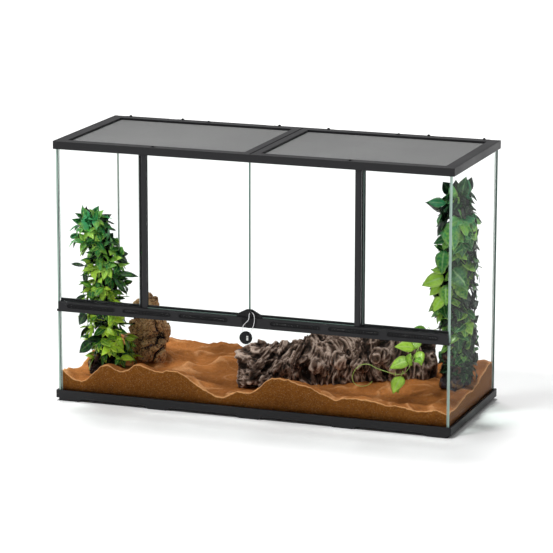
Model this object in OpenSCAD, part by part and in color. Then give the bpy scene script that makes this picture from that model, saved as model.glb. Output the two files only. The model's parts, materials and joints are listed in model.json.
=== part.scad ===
// Front-opening glass terrarium: a wide glass case in a dark plastic base and rim, with two
// hinged glass doors, two lift-off mesh lids, a vent strip under the doors and a cable lock,
// dressed inside with a sand bed, planted corners, a rock and a bark log.
// Millimetres. X right, front faces -Y, Z up. The origin is on the floor, under the middle.

/* [Case] */
// Width of the base frame and of the rim
case_w = 1180; // [1000:10:1400]
// Depth of the base frame and of the rim
case_d = 455; // [420:5:560]
// Height from the floor to the top of the rim
case_h = 753; // [680:5:850]
// Height of the plastic rim
rim_h = 22.3; // [20:0.5:30]
// Height of the base frame above its feet
base_h = 21.6; // [20:0.5:30]
// Height of the feet
foot_h = 8; // [6:1:14]
// Radius of the corners of the base frame and of the rim
corner_r = 4; // [2:0.5:8]
// Distance between the feet along the front
foot_pitch = 278; // [240:1:300]
// Length of a foot
foot_l = 80; // [60:1:90]

/* [Glass] */
// Thickness of every pane
glass_t = 5; // [4:0.5:6]
// How far the plastic frames stand out beyond the side panes
side_overhang = 7; // [6.5:0.5:9]
// How far the plastic frames stand out beyond the front and back panes
front_overhang = 8; // [7:0.5:10]

/* [Vent strip] */
// Underside of the vent strip above the floor
strip_z = 262.5; // [230:2.5:300]
// Height of the strip's front face
strip_face_h = 28.5; // [26:0.5:36]
// Height of the door stop behind the strip's top
stop_h = 7; // [5:0.5:10]
// Vent slots on each half
slot_n = 3; // [2:1:4]
// Height of one vent slot
slot_h = 14; // [10:0.5:16]
// Gap between two slots
slot_gap = 22.5; // [16:0.5:30]
// Distance from the middle to the first slot
slot_first = 62.4; // [40:0.2:80]
// Distance from the side pane to the last slot
slot_last = 31.6; // [24:0.2:50]

/* [Doors] */
// Distance from the middle to each door's pivot
pivot_x = 319; // [280:1:345]
// Radius of the rounded edge of the hinge stile
stile_r = 5.3; // [4.8:0.1:5.6]
// Width of the hinge stile
stile_w = 17; // [14:0.5:20]
// Width of the fixed post beside the stile
post_w = 6.7; // [5.5:0.1:9]
// Radius of the door's pivot pins
pivot_r = 2.5; // [2:0.1:3]
// Length of the door's pivot pins
pivot_l = 7; // [5:0.5:8]
// Gap between the two door panes
door_gap = 1; // [0.8:0.1:2]
// Length of each door handle
tab_w = 37; // [30:1:45]
// Height of each door handle at its inner end
tab_h = 22.6; // [20:0.5:28]

/* [Lids] */
// Height of the lid frames
lid_h = 10; // [9:0.5:12]
// Depth of the mesh below the top of the lid
mesh_drop = 6.5; // [5.5:0.5:7]
// Width of the lid frame on its outer sides
lid_side_w = 27; // [22:0.5:34]
// Width of the lid frame at the middle of the case
lid_mid_w = 22; // [18:0.5:28]
// Wires across the length of one lid
mesh_nx = 21; // [12:1:24]
// Wires across the depth of one lid
mesh_ny = 13; // [8:1:15]
// Thickness of the mesh wires
wire_t = 1.2; // [0.8:0.1:1.6]

/* [Cable ports] */
// Distance from the middle to the first cable port in the back of the rim
port_first = 75; // [60:1:120]
// Distance from the end of the rim to the second cable port
port_second = 214; // [180:1:240]
// Distance from the end of the rim to the last cable port
port_last = 50; // [46:1:60]
// Width of a cable port
port_w = 26; // [20:1:30]
// Travel of a cable port slider
port_travel = 24; // [18:1:28]

/* [Lock] */
// Radius of the round lock
lock_r = 18; // [17:0.5:22]
// Thickness of the round lock
lock_t = 10; // [10:0.5:13]
// Thickness of the lock's steel cable
cable_d = 2; // [1.6:0.1:2.4]
// Radius of the number dials
dial_r = 5.5; // [5.3:0.1:5.8]
// Height of one number dial
dial_h = 3.4; // [3:0.1:3.6]
// Pitch of the number dials
dial_pitch = 4.6; // [4.4:0.1:4.8]

/* [Furnishing] */
// Lowest level of the sand above the base frame's underside
sand_low = 44; // [30:2:60]
// Height of the left plant above the floor
left_plant_h = 545; // [400:5:600]
// Height of the right plant above the floor
right_plant_h = 668; // [500:5:690]
// Leaves on the left plant
left_leaves = 78; // [40:2:90]
// Leaves on the right plant
right_leaves = 62; // [36:2:70]
// Length of the bark log
log_l = 560; // [480:10:600]
// Distance from the right pane to the middle of the log's left end
log_in = 668; // [650:2:720]
// Height of the rock
rock_h = 178; // [120:2:200]
// Width of the rock
rock_w = 124; // [100:2:150]
// Distance from the left pane to the middle of the rock
rock_in = 174; // [130:1:200]
// Distance from the left pane to the cane of the left plant
left_plant_in = 92; // [70:1:110]
// Distance from the right pane to the cane of the right plant
right_plant_in = 60; // [50:1:90]
// Length of a leaf of the left plant
left_leaf_l = 76; // [50:1:90]
// Width of a leaf of the left plant
left_leaf_w = 30; // [20:1:40]
// Length of a leaf of the right plant
right_leaf_l = 80; // [50:1:95]
// Width of a leaf of the right plant
right_leaf_w = 46; // [30:1:60]

/* [Hidden] */
// Clearances, each used on both of the pieces that meet at it
slip = 0.3; // a pane in its channel, a lid on its ledge, a piece on the sand
run = 0.05; // a pivot pin or a spindle in its bore
door_clear = 1.2; // a door above the strip and under the rim
lid_gap = 0.8; // a lid inside the rim's wall

// Levels
base_top = foot_h + base_h;
rim_z = case_h - rim_h;
lid_z = case_h - lid_h;
strip_top = strip_z + strip_face_h;
door_z = strip_top + door_clear;
door_top = rim_z - door_clear;
ledge_t = 4; // thickness of the ledge the bottom pane rests on
floor_z = foot_h + ledge_t + 2; // underside of the bottom pane
pane_z = floor_z + glass_t; // underside of the upright panes
cap_t = 2; // rim material above the top edges of the panes
pane_top = lid_z - cap_t;

// Plan positions
half_w = case_w / 2;
half_d = case_d / 2;
port_x = [port_first, half_w - port_second, half_w - port_last];
glass_x = half_w - side_overhang; // outer face of the side panes
glass_y = half_d - front_overhang; // outer face of the front and back panes
inner_x = glass_x - glass_t;
inner_y = glass_y - glass_t;
door_y = -glass_y + glass_t / 2; // middle plane of the front glass
flange_w = 9; // inner flange behind the panes
wall_t = 5; // rim wall round the lids
post_x = pivot_x + stile_r; // inner face of the fixed posts
light_x = post_x + post_w; // free edge of the fixed side lights
stile_in = pivot_x + stile_r - stile_w; // edge of the stile that holds the door pane
groove = 6; // depth of the pane in its stile or strip
slot_l = (glass_x - slot_last - slot_first - (slot_n - 1) * slot_gap) / slot_n;

// Canes of the plants
left_plant = [-inner_x + left_plant_in, -112];
right_plant = [inner_x - right_plant_in, 42];
left_foot_h = 52; // height of the left plant's foot above the sand
right_foot_h = 160;

// Sand surface: [x, y, rise, half width, half depth] of each dune or hollow
DUNES = [
    [-580, -215, 32, 38, 80],
    [-440, -215, 62, 50, 80],
    [-342, -215, 55, 45, 80],
    [-242, -215, 61, 94, 80],
    [-30, -215, 15, 30, 50],
    [60, -215, 32, 36, 60],
    [130, -215, 64, 104, 80],
    [322, -215, 32, 64, 60],
    [438, -215, 28, 46, 60],
    [540, -215, 21, 44, 60],
    [570, -100, 10, 50, 70],
    [-272, 0, 16, 32, 36],
    [-190, 60, 16, 34, 36],
    [-470, 30, 34, 110, 90],
    [-250, 60, -12, 60, 60],
    [-60, -110, -8, 50, 60],
    [560, 180, 26, 60, 70],
    [300, 40, 10, 200, 80],
    [0, 150, -8, 90, 60]
];
sand_rise = 42; // rise of the sand from the front to the back
sand_nx = 56;
sand_ny = 16;

// Hasp eye on the right door's handle
eye_x = 6; // left face of the eye
eye_w = 4; // thickness of the eye
eye_r = 2.6;
eye_wall = 2.1; // material round the eye
eye_y = -glass_y - 12.5;
eye_z = door_z + 16.6;

// Lock, hung from the eye by its cable
lock_drop = 72.8; // from the eye down to the middle of the lock
lock_at = [eye_x - 12, eye_y - 3, eye_z - lock_drop];
dial_at = lock_at + [6, 0, 0];

// Cable loop from the middle of the lock: out of one port, through the eye, into the other
CABLE_TURNS = [
    [-7, 0, 12], [-9.5, 0, 19], [-10, 0.5, 26], [-8, 1, 33], [-4, 2, 39], [1, 3, 44],
    [5.5, 3, 49.5], [8, 3, 56], [8.5, 3, 63], [10, 3, 69.5], [14, 3, 73], [18, 3, 72],
    [21.5, 3, 68], [24, 3, 61], [24.5, 3, 53], [24, 2.5, 45], [22, 1.5, 36], [19, 1, 28],
    [15, 0, 20], [12, 0, 13]
];
CABLE = [for (p = CABLE_TURNS) lock_at + p];
cable_sides = 8;

DARK = [0.2, 0.2, 0.21];
GREEN_GLASS = [0.72, 0.86, 0.8, 0.35];
STEEL = [0.72, 0.72, 0.72];

// ---- helpers ----

// A block from one corner to the opposite one
module block(from, to) {
    translate(from) cube(to - from);
}

// A flat rectangle with round corners, centred
module round_rect(w, d, r) {
    square([w - 2 * r, d], center = true);
    square([w, d - 2 * r], center = true);
    for (x = [-1, 1], y = [-1, 1])
        translate([x * (w / 2 - r), y * (d / 2 - r)]) circle(r, $fn = 32);
}

// A round-cornered frame blank, from level low to level high
module frame_blank(low, high) {
    translate([0, 0, low])
        linear_extrude(high - low) round_rect(case_w, case_d, corner_r);
}

// The ring-shaped channel that the four outer panes stand in, grown by gap
module pane_ring(low, high, gap) {
    difference() {
        block([-glass_x - gap, -glass_y - gap, low], [glass_x + gap, glass_y + gap, high]);
        block([-inner_x + gap, -inner_y + gap, low - 1], [inner_x - gap, inner_y - gap, high + 1]);
    }
}

// ---- base and glass ----

// One tapered foot, long side along X, its wide end up
module foot(length, slope, depth) {
    rotate([90, 0, 0])
        linear_extrude(depth, center = true)
            polygon([[-length / 2, foot_h], [-length / 2 + slope, 0],
                [length / 2 - slope, 0], [length / 2, foot_h]]);
}

foot_slope = 13;
foot_d = 24; // how far a foot reaches in from the frame's face
corner_foot_l = 70;
corner_foot_d = 60;
corner_inset = 10;

// A corner foot, sloped only on the side that faces the next foot
module corner_foot() {
    translate([half_w - corner_inset - corner_foot_l, -half_d, 0])
        rotate([90, 0, 0])
            translate([0, 0, -corner_foot_d])
                linear_extrude(corner_foot_d)
                    polygon([[0, foot_h], [foot_slope, 0], [corner_foot_l, 0],
                        [corner_foot_l, foot_h]]);
}

module base_frame() {
    color(DARK) {
        difference() {
            frame_blank(foot_h, base_top);
            // the opening under the floor pane, and the space the glass stands in
            block([-inner_x + flange_w, -inner_y + flange_w, foot_h - 1],
                [inner_x - flange_w, inner_y - flange_w, base_top + 1]);
            block([-glass_x - slip, -glass_y - slip, floor_z],
                [glass_x + slip, glass_y + slip, base_top + 1]);
        }
        for (s = [-1, 1])
            mirror([0, s > 0 ? 0 : 1, 0]) {
                for (i = [-1:1])
                    translate([i * foot_pitch, -half_d + foot_d / 2, 0])
                        foot(foot_l, foot_slope, foot_d);
                for (m = [0, 1]) mirror([m, 0, 0]) corner_foot();
            }
    }
}

module floor_pane() {
    color(GREEN_GLASS)
        block([-glass_x, -glass_y, floor_z], [glass_x, glass_y, pane_z]);
}

module side_pane() {
    color(GREEN_GLASS)
        block([inner_x, -glass_y, pane_z], [glass_x, glass_y, pane_top]);
}

module left_pane() { mirror([1, 0, 0]) side_pane(); }
module right_pane() { side_pane(); }

// Panes that stand between the two side panes
module back_pane() {
    color(GREEN_GLASS)
        block([-inner_x, inner_y, pane_z], [inner_x, glass_y, pane_top]);
}

lap = 6; // how far the lower pane and the side lights reach into the vent strip

module front_pane() {
    color(GREEN_GLASS)
        block([-inner_x, -glass_y, pane_z], [inner_x, -inner_y, strip_z + lap]);
}

module right_side_light() {
    color(GREEN_GLASS)
        block([light_x, -glass_y, strip_top - lap], [inner_x, -inner_y, pane_top]);
}

module left_side_light() { mirror([1, 0, 0]) right_side_light(); }

// ---- posts, strip and rim ----

post_back = 8; // depth of the post behind the glass
post_recess = 3; // how far the post's face lies behind the glass face
post_lip = 2; // how far the post reaches behind the side light

// Fixed post: a narrow face beside the stile, and a lip bonded behind the side light
module right_post() {
    color([0.15, 0.15, 0.16]) {
        block([post_x + slip, -glass_y + post_recess, strip_top + stop_h],
            [light_x, -inner_y + post_back, rim_z]);
        block([light_x - 1, -inner_y, strip_top + stop_h],
            [light_x + post_lip, -inner_y + post_back, rim_z]);
        // the foot of the post stands on the strip, in front of the door stop
        block([post_x + slip, -glass_y + post_recess, strip_top],
            [light_x, -inner_y, strip_top + stop_h + 1]);
    }
}

module left_post() { mirror([1, 0, 0]) right_post(); }

strip_back = 10; // depth of the strip behind the glass
strip_d = front_overhang + glass_t + strip_back + 1;
notch_w = 4.5; // notch at each end of the strip's face
notch_z = 6.5; // height of the notch above the strip's underside
recess = 1.6; // depth of the slot's sunk panel
insert_t = 1.5; // thickness of the sunk panel
rim_line = 0.5; // raised line round each slot
half_moon_r = 2.6;

// Outline of one vent slot, grown by e
module slot_outline(e) {
    for (x = [-1, 1])
        translate([x * (slot_l - slot_h) / 2, 0]) circle(slot_h / 2 + e, $fn = 48);
    square([slot_l - slot_h, slot_h + 2 * e], center = true);
}

function slot_centres() =
    [for (s = [-1, 1], i = [0:slot_n - 1]) s * (slot_first + slot_l / 2 + i * (slot_l + slot_gap))];
slot_z = strip_z + strip_face_h * 0.6;

module at_slots() {
    for (x = slot_centres())
        translate([x, -half_d, slot_z]) rotate([90, 0, 0]) children();
}

// Profile of the vent strip: face, shelf under the doors, door stop and pane channel
module strip_body() {
    face_t = 3.2;
    block([-glass_x, -half_d, strip_z], [glass_x, -half_d + face_t, strip_top]);
    block([-inner_x + slip, -half_d + face_t - 1, strip_top - 4],
        [inner_x - slip, -inner_y + strip_back, strip_top]);
    block([-inner_x + slip, -inner_y + slip, strip_z],
        [inner_x - slip, -inner_y + strip_back, strip_top]);
    block([-inner_x + slip, -half_d + face_t - 1, strip_z],
        [inner_x - slip, -glass_y - slip, strip_z + lap + 2]);
    block([-inner_x + slip, door_y + stile_r + 0.5, strip_top - 1],
        [inner_x - slip, -inner_y + strip_back, strip_top + stop_h]);
}

module vent_strip() {
    color(DARK)
        difference() {
            union() {
                strip_body();
                at_slots() linear_extrude(rim_line) slot_outline(1);
            }
            at_slots() translate([0, 0, -strip_d]) linear_extrude(strip_d + 3) slot_outline(-0.6);
            // half-moon thumb notches on the upper edge of each slot
            for (x = slot_centres(), f = [-0.43, 0, 0.4])
                translate([x + f * slot_l, -half_d + 1.2, slot_z + slot_h / 2 - 0.6])
                    rotate([90, 0, 0]) cylinder(h = 4, r = half_moon_r, $fn = 24);
            // the face is cut back beside the free edges of the side panes
            for (s = [-1, 1])
                translate([s * glass_x, 0, 0])
                    block([-notch_w, -half_d - 1, strip_z + notch_z],
                        [notch_w, -half_d + 5, strip_top + 1]);
            // the side lights stand in the shelf, and the doors' pins turn in it
            for (s = [0, 1])
                mirror([s, 0, 0]) {
                    block([light_x - slip, -glass_y - slip, strip_top - lap - slip],
                        [glass_x, -inner_y + slip, strip_top + 1]);
                    translate([pivot_x, door_y, strip_top - pivot_l])
                        cylinder(h = pivot_l + 1, r = pivot_r + run, $fn = 48);
                }
        }
}

// Sunk louvre panels behind the slots
louvre_pitch = 4.4;
louvre_w = 1.8;

module vent_inserts() {
    straight = slot_l - slot_h;
    n = floor(straight / louvre_pitch);
    color([0.13, 0.13, 0.14])
        at_slots()
            translate([0, 0, -recess - insert_t])
                difference() {
                    linear_extrude(insert_t) slot_outline(-0.8);
                    for (i = [0:n - 1])
                        translate([(i - (n - 1) / 2) * straight / n, -1, 0])
                            cube([louvre_w, slot_h * 0.45, 3 * insert_t + 3], center = true);
                }
}

keeper_w = 42;
keeper_t = 3;

// Plate on the middle of the strip that both doors close against
module keeper_plate() {
    color([0.12, 0.12, 0.13])
        translate([0, -half_d, 0])
            rotate([90, 0, 0])
                difference() {
                    linear_extrude(keeper_t)
                        intersection() {
                            translate([0, strip_z + keeper_w / 2]) circle(keeper_w / 2, $fn = 96);
                            translate([-keeper_w / 2, strip_z])
                                square([keeper_w, strip_face_h - 1]);
                        }
                    // sunk field
                    translate([0, 0, keeper_t - 0.8])
                        linear_extrude(2)
                            translate([0, strip_z + 16]) square([28, 12], center = true);
                }
}

bar_w = 24; // width of the crossbar under the lids
bar_h = 8;
rib_w = 2.4; // rib between the two lids
rib_h = 6;

track_d = 2.2; // depth of the track in the back of the rim
slide_t = 1.9; // thickness of a slider
slide_w = port_w + 8;
slide_h = 9;
port_h = 5;

// Repeats its children at the ports of both halves, the left ones mirrored
module at_ports() {
    for (m = [0, 1], x = port_x) mirror([m, 0, 0]) translate([x, 0, 0]) children();
}

// Track in the back face of the rim, open away from the middle, and the cable port behind it
module port_cut() {
    block([-slide_w / 2 - slip, half_d - track_d, case_h - slide_h - slip],
        [slide_w / 2 + slip + port_travel, half_d + 1, case_h + 1]);
    block([-port_w / 2, half_d - wall_t - 1, case_h - slide_h + 1],
        [port_w / 2, half_d, case_h - slide_h + 1 + port_h]);
}

module top_rim() {
    color(DARK)
        difference() {
            union() {
                difference() {
                    frame_blank(rim_z, case_h);
                    // the lids' seat and the opening under it
                    block([-half_w + wall_t, -half_d + wall_t, lid_z],
                        [half_w - wall_t, half_d - wall_t, case_h + 1]);
                    block([-inner_x + flange_w, -inner_y + flange_w, rim_z - 1],
                        [inner_x - flange_w, inner_y - flange_w, case_h + 1]);
                }
                // crossbar that both lids rest on, with a rib between them
                block([-bar_w / 2, -inner_y, lid_z - bar_h], [bar_w / 2, inner_y, lid_z]);
                block([-rib_w / 2, -half_d + wall_t - 1, lid_z - 1],
                    [rib_w / 2, half_d - wall_t + 1, lid_z + rib_h]);
            }
            // channels for the panes: both sides, the back, and the side lights
            difference() {
                pane_ring(rim_z - 1, pane_top + slip, slip);
                block([-light_x + slip, -half_d, rim_z - 2],
                    [light_x - slip, -inner_y + 1, case_h]);
            }
            // bores for the doors' upper pins
            for (s = [-1, 1])
                translate([s * pivot_x, door_y, rim_z - 1])
                    cylinder(h = pivot_l + 1, r = pivot_r + run, $fn = 48);
            at_ports() port_cut();
        }
}

// ---- doors ----

pane_in = stile_in + groove; // hinge-side edge of the door pane, inside the stile

module right_door_pane() {
    color(GREEN_GLASS)
        block([door_gap / 2, -glass_y, door_z], [pane_in, -inner_y, door_top]);
}

module left_door_pane() { mirror([1, 0, 0]) right_door_pane(); }

// Stile with a rounded back edge, a channel for the pane and a pin at each end
module right_door_stile() {
    color([0.24, 0.24, 0.25])
        translate([0, door_y, 0]) {
            difference() {
                union() {
                    translate([pivot_x, 0, door_z])
                        cylinder(h = door_top - door_z, r = stile_r, $fn = 64);
                    block([stile_in, -stile_r, door_z], [pivot_x, stile_r, door_top]);
                }
                block([stile_in - 1, -glass_t / 2, door_z - 1],
                    [pane_in, glass_t / 2, door_top + 1]);
            }
            for (z = [door_z - pivot_l + 1, door_top - 1])
                translate([pivot_x, 0, z]) cylinder(h = pivot_l, r = pivot_r, $fn = 48);
        }
}

module left_door_stile() { mirror([1, 0, 0]) right_door_stile(); }

tab_t = 6; // thickness of a handle
tab_z = door_z;

// Handle outline, seen from the front: low outer end, peak at the doors' meeting line
module tab_outline() {
    polygon([[door_gap / 2, tab_z], [tab_w, tab_z], [tab_w, tab_z + 7], [tab_w - 3, tab_z + 9],
        [9, tab_z + tab_h - 0.6], [6, tab_z + tab_h], [door_gap / 2, tab_z + tab_h]]);
}

module tab_body() {
    translate([0, -glass_y, 0])
        rotate([90, 0, 0])
            difference() {
                linear_extrude(tab_t) tab_outline();
                // scooped finger grip
                translate([tab_w * 0.55, tab_z + 5, tab_t + 9])
                    rotate([0, 90, 0]) cylinder(h = 22, r = 11, center = true, $fn = 64);
            }
}

module right_door_tab() {
    color([0.11, 0.11, 0.12])
        difference() {
            union() {
                tab_body();
                // hasp eye
                translate([eye_x, 0, 0])
                    block([0, eye_y, eye_z - eye_r - eye_wall],
                        [eye_w, -glass_y - 1, eye_z + eye_r + eye_wall]);
                translate([eye_x, eye_y, eye_z])
                    rotate([0, 90, 0]) cylinder(h = eye_w, r = eye_r + eye_wall, $fn = 48);
            }
            translate([eye_x - 1, eye_y, eye_z])
                rotate([0, 90, 0]) cylinder(h = eye_w + 2, r = eye_r, $fn = 48);
        }
}

module left_door_tab() {
    color([0.11, 0.11, 0.12]) mirror([1, 0, 0]) tab_body();
}

// ---- lids ----

lid_out_x = half_w - wall_t - lid_gap;
lid_out_y = half_d - wall_t - lid_gap;
lid_in_x = rib_w / 2 + lid_gap;
mesh_z = case_h - mesh_drop;
mesh_lap = 6; // how far the mesh reaches into the lid frame

module right_lid_frame() {
    z0 = lid_z + slip;
    color([0.3, 0.3, 0.31])
        difference() {
            block([lid_in_x, -lid_out_y, z0], [lid_out_x, lid_out_y, case_h - 0.2]);
            block([lid_in_x + lid_mid_w, -lid_out_y + lid_side_w, z0 - 1],
                [lid_out_x - lid_side_w, lid_out_y - lid_side_w, case_h + 1]);
            // rebate under the frame for the mesh
            block([lid_in_x + lid_mid_w - mesh_lap, -lid_out_y + lid_side_w - mesh_lap, z0 - 1],
                [lid_out_x - lid_side_w + mesh_lap, lid_out_y - lid_side_w + mesh_lap, mesh_z]);
            // notches under the back edge for thin cables from the ports
            for (x = port_x)
                block([x - port_w / 2, lid_out_y - lid_side_w + mesh_lap - 1, z0 - 1],
                    [x + port_w / 2, lid_out_y + 1, z0 + 3.4]);
            // chamfered outer edge
            for (y = [-1, 1])
                translate([lid_in_x - 1, y * lid_out_y, case_h - 0.2])
                    rotate([45, 0, 0])
                        translate([0, -1, -1]) cube([lid_out_x, 2, 2]);
        }
}

module left_lid_frame() { mirror([1, 0, 0]) right_lid_frame(); }

// Wires of one lid, laid across each other inside a thin selvage
module right_lid_mesh() {
    x0 = lid_in_x + lid_mid_w - mesh_lap + slip;
    x1 = lid_out_x - lid_side_w + mesh_lap - slip;
    y1 = lid_out_y - lid_side_w + mesh_lap - slip;
    color(STEEL)
        translate([0, 0, mesh_z - wire_t])
            linear_extrude(wire_t) {
                difference() {
                    translate([x0, -y1]) square([x1 - x0, 2 * y1]);
                    translate([x0 + mesh_lap, -y1 + mesh_lap])
                        square([x1 - x0 - 2 * mesh_lap, 2 * (y1 - mesh_lap)]);
                }
                for (i = [1:mesh_nx - 1])
                    translate([x0 + (x1 - x0) * i / mesh_nx - wire_t / 2, -y1])
                        square([wire_t, 2 * y1]);
                for (i = [1:mesh_ny - 1])
                    translate([x0, -y1 + 2 * y1 * i / mesh_ny - wire_t / 2])
                        square([x1 - x0, wire_t]);
            }
}

module left_lid_mesh() { mirror([1, 0, 0]) right_lid_mesh(); }

grip_x = half_w / 2 - 5;
grip_w = 16;
grip_d = 7;
grip_r = 3.4;

// Thumb nubs at the middle of each long side of the lid
module right_lid_grips() {
    color([0.14, 0.14, 0.15])
        for (s = [-1, 1])
            translate([grip_x, s * (lid_out_y - grip_d), case_h - 0.2]) {
                translate([-grip_w / 2, -grip_d / 2, 0]) cube([grip_w, grip_d, 0.8]);
                translate([0, grip_d / 2 - 1, 0.4])
                    rotate([90, 0, 0])
                        linear_extrude(grip_d - 2)
                            intersection() {
                                circle(grip_r, $fn = 48);
                                translate([-grip_r, 0]) square([2 * grip_r, grip_r]);
                            }
            }
}

module left_lid_grips() { mirror([1, 0, 0]) right_lid_grips(); }

// ---- cable ports ----

// Slider: a plate in the track that closes the port, with a thumb nub on its top edge
module port_slider(x) {
    color([0.14, 0.14, 0.15])
        translate([x, half_d, 0])
            rotate([90, 0, 0])
                linear_extrude(slide_t) {
                    translate([-slide_w / 2, case_h - slide_h]) square([slide_w, slide_h]);
                    intersection() {
                        translate([0, case_h - 1]) circle(4.6, $fn = 64);
                        translate([-5, case_h - 1]) square([10, 5]);
                    }
                }
}

module port_slider_1() { port_slider(-port_x[2]); }
module port_slider_2() { port_slider(-port_x[1]); }
module port_slider_3() { port_slider(-port_x[0]); }
module port_slider_4() { port_slider(port_x[0]); }
module port_slider_5() { port_slider(port_x[1]); }
module port_slider_6() { port_slider(port_x[2]); }

// ---- lock ----

edge_r = 1.6; // rounding of the lock's two rims

// Half section of the round body, turned about the axis
module lock_section() {
    h = lock_t / 2;
    translate([0, -h + edge_r]) square([lock_r, lock_t - 2 * edge_r]);
    translate([0, -h]) square([lock_r - edge_r, lock_t]);
    for (s = [-1, 1])
        translate([lock_r - edge_r, s * (h - edge_r)]) circle(edge_r, $fn = 40);
}

function unit(v) = v / norm(v);

// Places its children at a point, with +Z along a direction
module aimed(at, dir) {
    d = unit(dir);
    translate(at)
        rotate([0, acos(d[2]), atan2(d[1], d[0])])
            children();
}

dial_room = 0.25;
spindle_r = 1.4;

function dial_rise(i) = (i - 2) * dial_pitch;

module lock_case() {
    n = len(CABLE);
    color([0.1, 0.1, 0.11]) {
        difference() {
            translate(lock_at)
                rotate([90, 0, 0]) rotate_extrude($fn = 96) lock_section();
            // rooms for the dials, open at both faces
            for (i = [1:3])
                translate(dial_at + [0, 0, dial_rise(i)])
                    cylinder(h = dial_h + 2 * dial_room, r = dial_r + dial_room,
                        center = true, $fn = 64);
            // sockets for the cable's two ends
            for (e = [[0, 1], [n - 1, n - 2]])
                aimed(CABLE[e[0]], CABLE[e[1]] - CABLE[e[0]])
                    cylinder(h = 12, r = cable_d / 2 + run, $fn = 32);
            // sunk field beside the dials, left bare
            translate(lock_at - [7, lock_t / 2, 0])
                cube([8, 0.8, 20], center = true);
        }
        // spindle of the dials
        translate(dial_at)
            cylinder(h = 3 * dial_pitch + 1, r = spindle_r, center = true, $fn = 40);
    }
}

// Ten-sided dial, one flat to the front
module lock_dial(i) {
    color([0.9, 0.9, 0.88])
        translate(dial_at + [0, 0, dial_rise(i)])
            difference() {
                rotate([0, 0, 18]) cylinder(h = dial_h, r = dial_r, center = true, $fn = 10);
                cylinder(h = dial_h + 1, r = spindle_r + run, center = true, $fn = 40);
            }
}

module lock_dial_1() { lock_dial(1); }
module lock_dial_2() { lock_dial(2); }
module lock_dial_3() { lock_dial(3); }

// Direction of a route at one of its points
function heading(path, i) =
    unit(path[min(i + 1, len(path) - 1)] - path[max(i - 1, 0)]);

// Ring of points round a route, square to it
function ring(path, i, r, sides) =
    let (t = heading(path, i), u = unit(cross(t, [0.1, 1, 0.05])), v = cross(t, u))
    [for (k = [0:sides - 1]) path[i] + r * (cos(360 * k / sides) * u + sin(360 * k / sides) * v)];

// Closed skin over n rings of points, each with the same number of sides
module skin(points, n, sides) {
    walls = [
        for (i = [0:n - 2], k = [0:sides - 1])
            let (a = i * sides + k, b = i * sides + (k + 1) % sides)
            each [[a, a + sides, b], [b, a + sides, b + sides]]
    ];
    ends = [[for (k = [0:sides - 1]) k], [for (k = [sides - 1:-1:0]) (n - 1) * sides + k]];
    polyhedron(points, concat(walls, ends), convexity = 6);
}

// Round tube along a route
module tube(path, r, sides) {
    skin([for (i = [0:len(path) - 1]) each ring(path, i, r, sides)], len(path), sides);
}

module lock_cable() {
    color(STEEL) tube(CABLE, cable_d / 2, cable_sides);
}

// ---- furnishing ----

function total(v, i = 0) = i < len(v) ? v[i] + total(v, i + 1) : 0;

// Level of the sand at a plan position
function sand_at(x, y) =
    foot_h + sand_low + sand_rise * (y + inner_y) / (2 * inner_y)
    + 1.6 * sin(x * 1.9 + y * 1.1) + 1.2 * sin(x * 3.7 - y * 2.3)
    + total([for (d = DUNES) d[2] * exp(-pow((x - d[0]) / d[3], 2) - pow((y - d[1]) / d[4], 2))]);

// Everything under the sand's surface raised by lift, down to level low
module sand_mass(lift, low) {
    sx = inner_x - slip;
    sy = inner_y - slip;
    nx = sand_nx;
    ny = sand_ny;
    surface = [
        for (j = [0:ny], i = [0:nx])
            let (x = -sx + 2 * sx * i / nx, y = -sy + 2 * sy * j / ny)
            [x, y, sand_at(x, y) + lift]
    ];
    base = (nx + 1) * (ny + 1);
    corners = [[-sx, -sy, low], [sx, -sy, low], [sx, sy, low], [-sx, sy, low]];
    cells = [
        for (j = [0:ny - 1], i = [0:nx - 1])
            let (a = j * (nx + 1) + i, b = a + nx + 1)
            each [[a, b, a + 1], [a + 1, b, b + 1]]
    ];
    front = concat([base + 1, base], [for (i = [0:nx]) i]);
    back = concat([base + 3, base + 2], [for (i = [nx:-1:0]) ny * (nx + 1) + i]);
    left = concat([base, base + 3], [for (j = [ny:-1:0]) j * (nx + 1)]);
    right = concat([base + 2, base + 1], [for (j = [0:ny]) j * (nx + 1) + nx]);
    under = [base, base + 1, base + 2, base + 3];
    polyhedron(concat(surface, corners), concat(cells, [front, back, left, right, under]),
        convexity = 10);
}

module sand_bed() {
    color([0.55, 0.32, 0.12]) sand_mass(0, pane_z);
}

// Cuts its children off where they meet the sand
module on_sand() {
    difference() {
        children();
        sand_mass(slip, -10);
    }
}

// Angular lump, from two blocks turned against each other
module boulder(at, size, turn) {
    translate(at)
        hull() {
            rotate(turn) cube(size, center = true);
            rotate([turn[2], turn[0], turn[1]]) cube(size * 0.85, center = true);
        }
}

rock_x = -inner_x + rock_in;
rock_y = 19;
rock_sink = 20; // how deep the rock lies in the sand

// Blocks of the rock: middle and size as shares of its width and height, and turn
BLOCKS = [
    [[0.18, -0.15, 0.17], [0.56, 0.48, 0.34], [4, 8, 20]],
    [[-0.21, 0.08, 0.20], [0.47, 0.56, 0.40], [6, -6, -24]],
    [[0.13, 0.19, 0.40], [0.50, 0.40, 0.30], [-8, 6, 40]],
    [[-0.16, -0.11, 0.47], [0.44, 0.39, 0.32], [10, 4, 12]],
    [[0.16, -0.05, 0.58], [0.40, 0.37, 0.28], [-6, -10, 32]],
    [[-0.10, 0.15, 0.70], [0.47, 0.36, 0.30], [8, 6, -16]],
    [[0.06, -0.02, 0.82], [0.36, 0.34, 0.26], [-10, 8, 26]],
    [[-0.05, 0.05, 0.93], [0.24, 0.24, 0.12], [6, 12, 45]]
];

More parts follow.
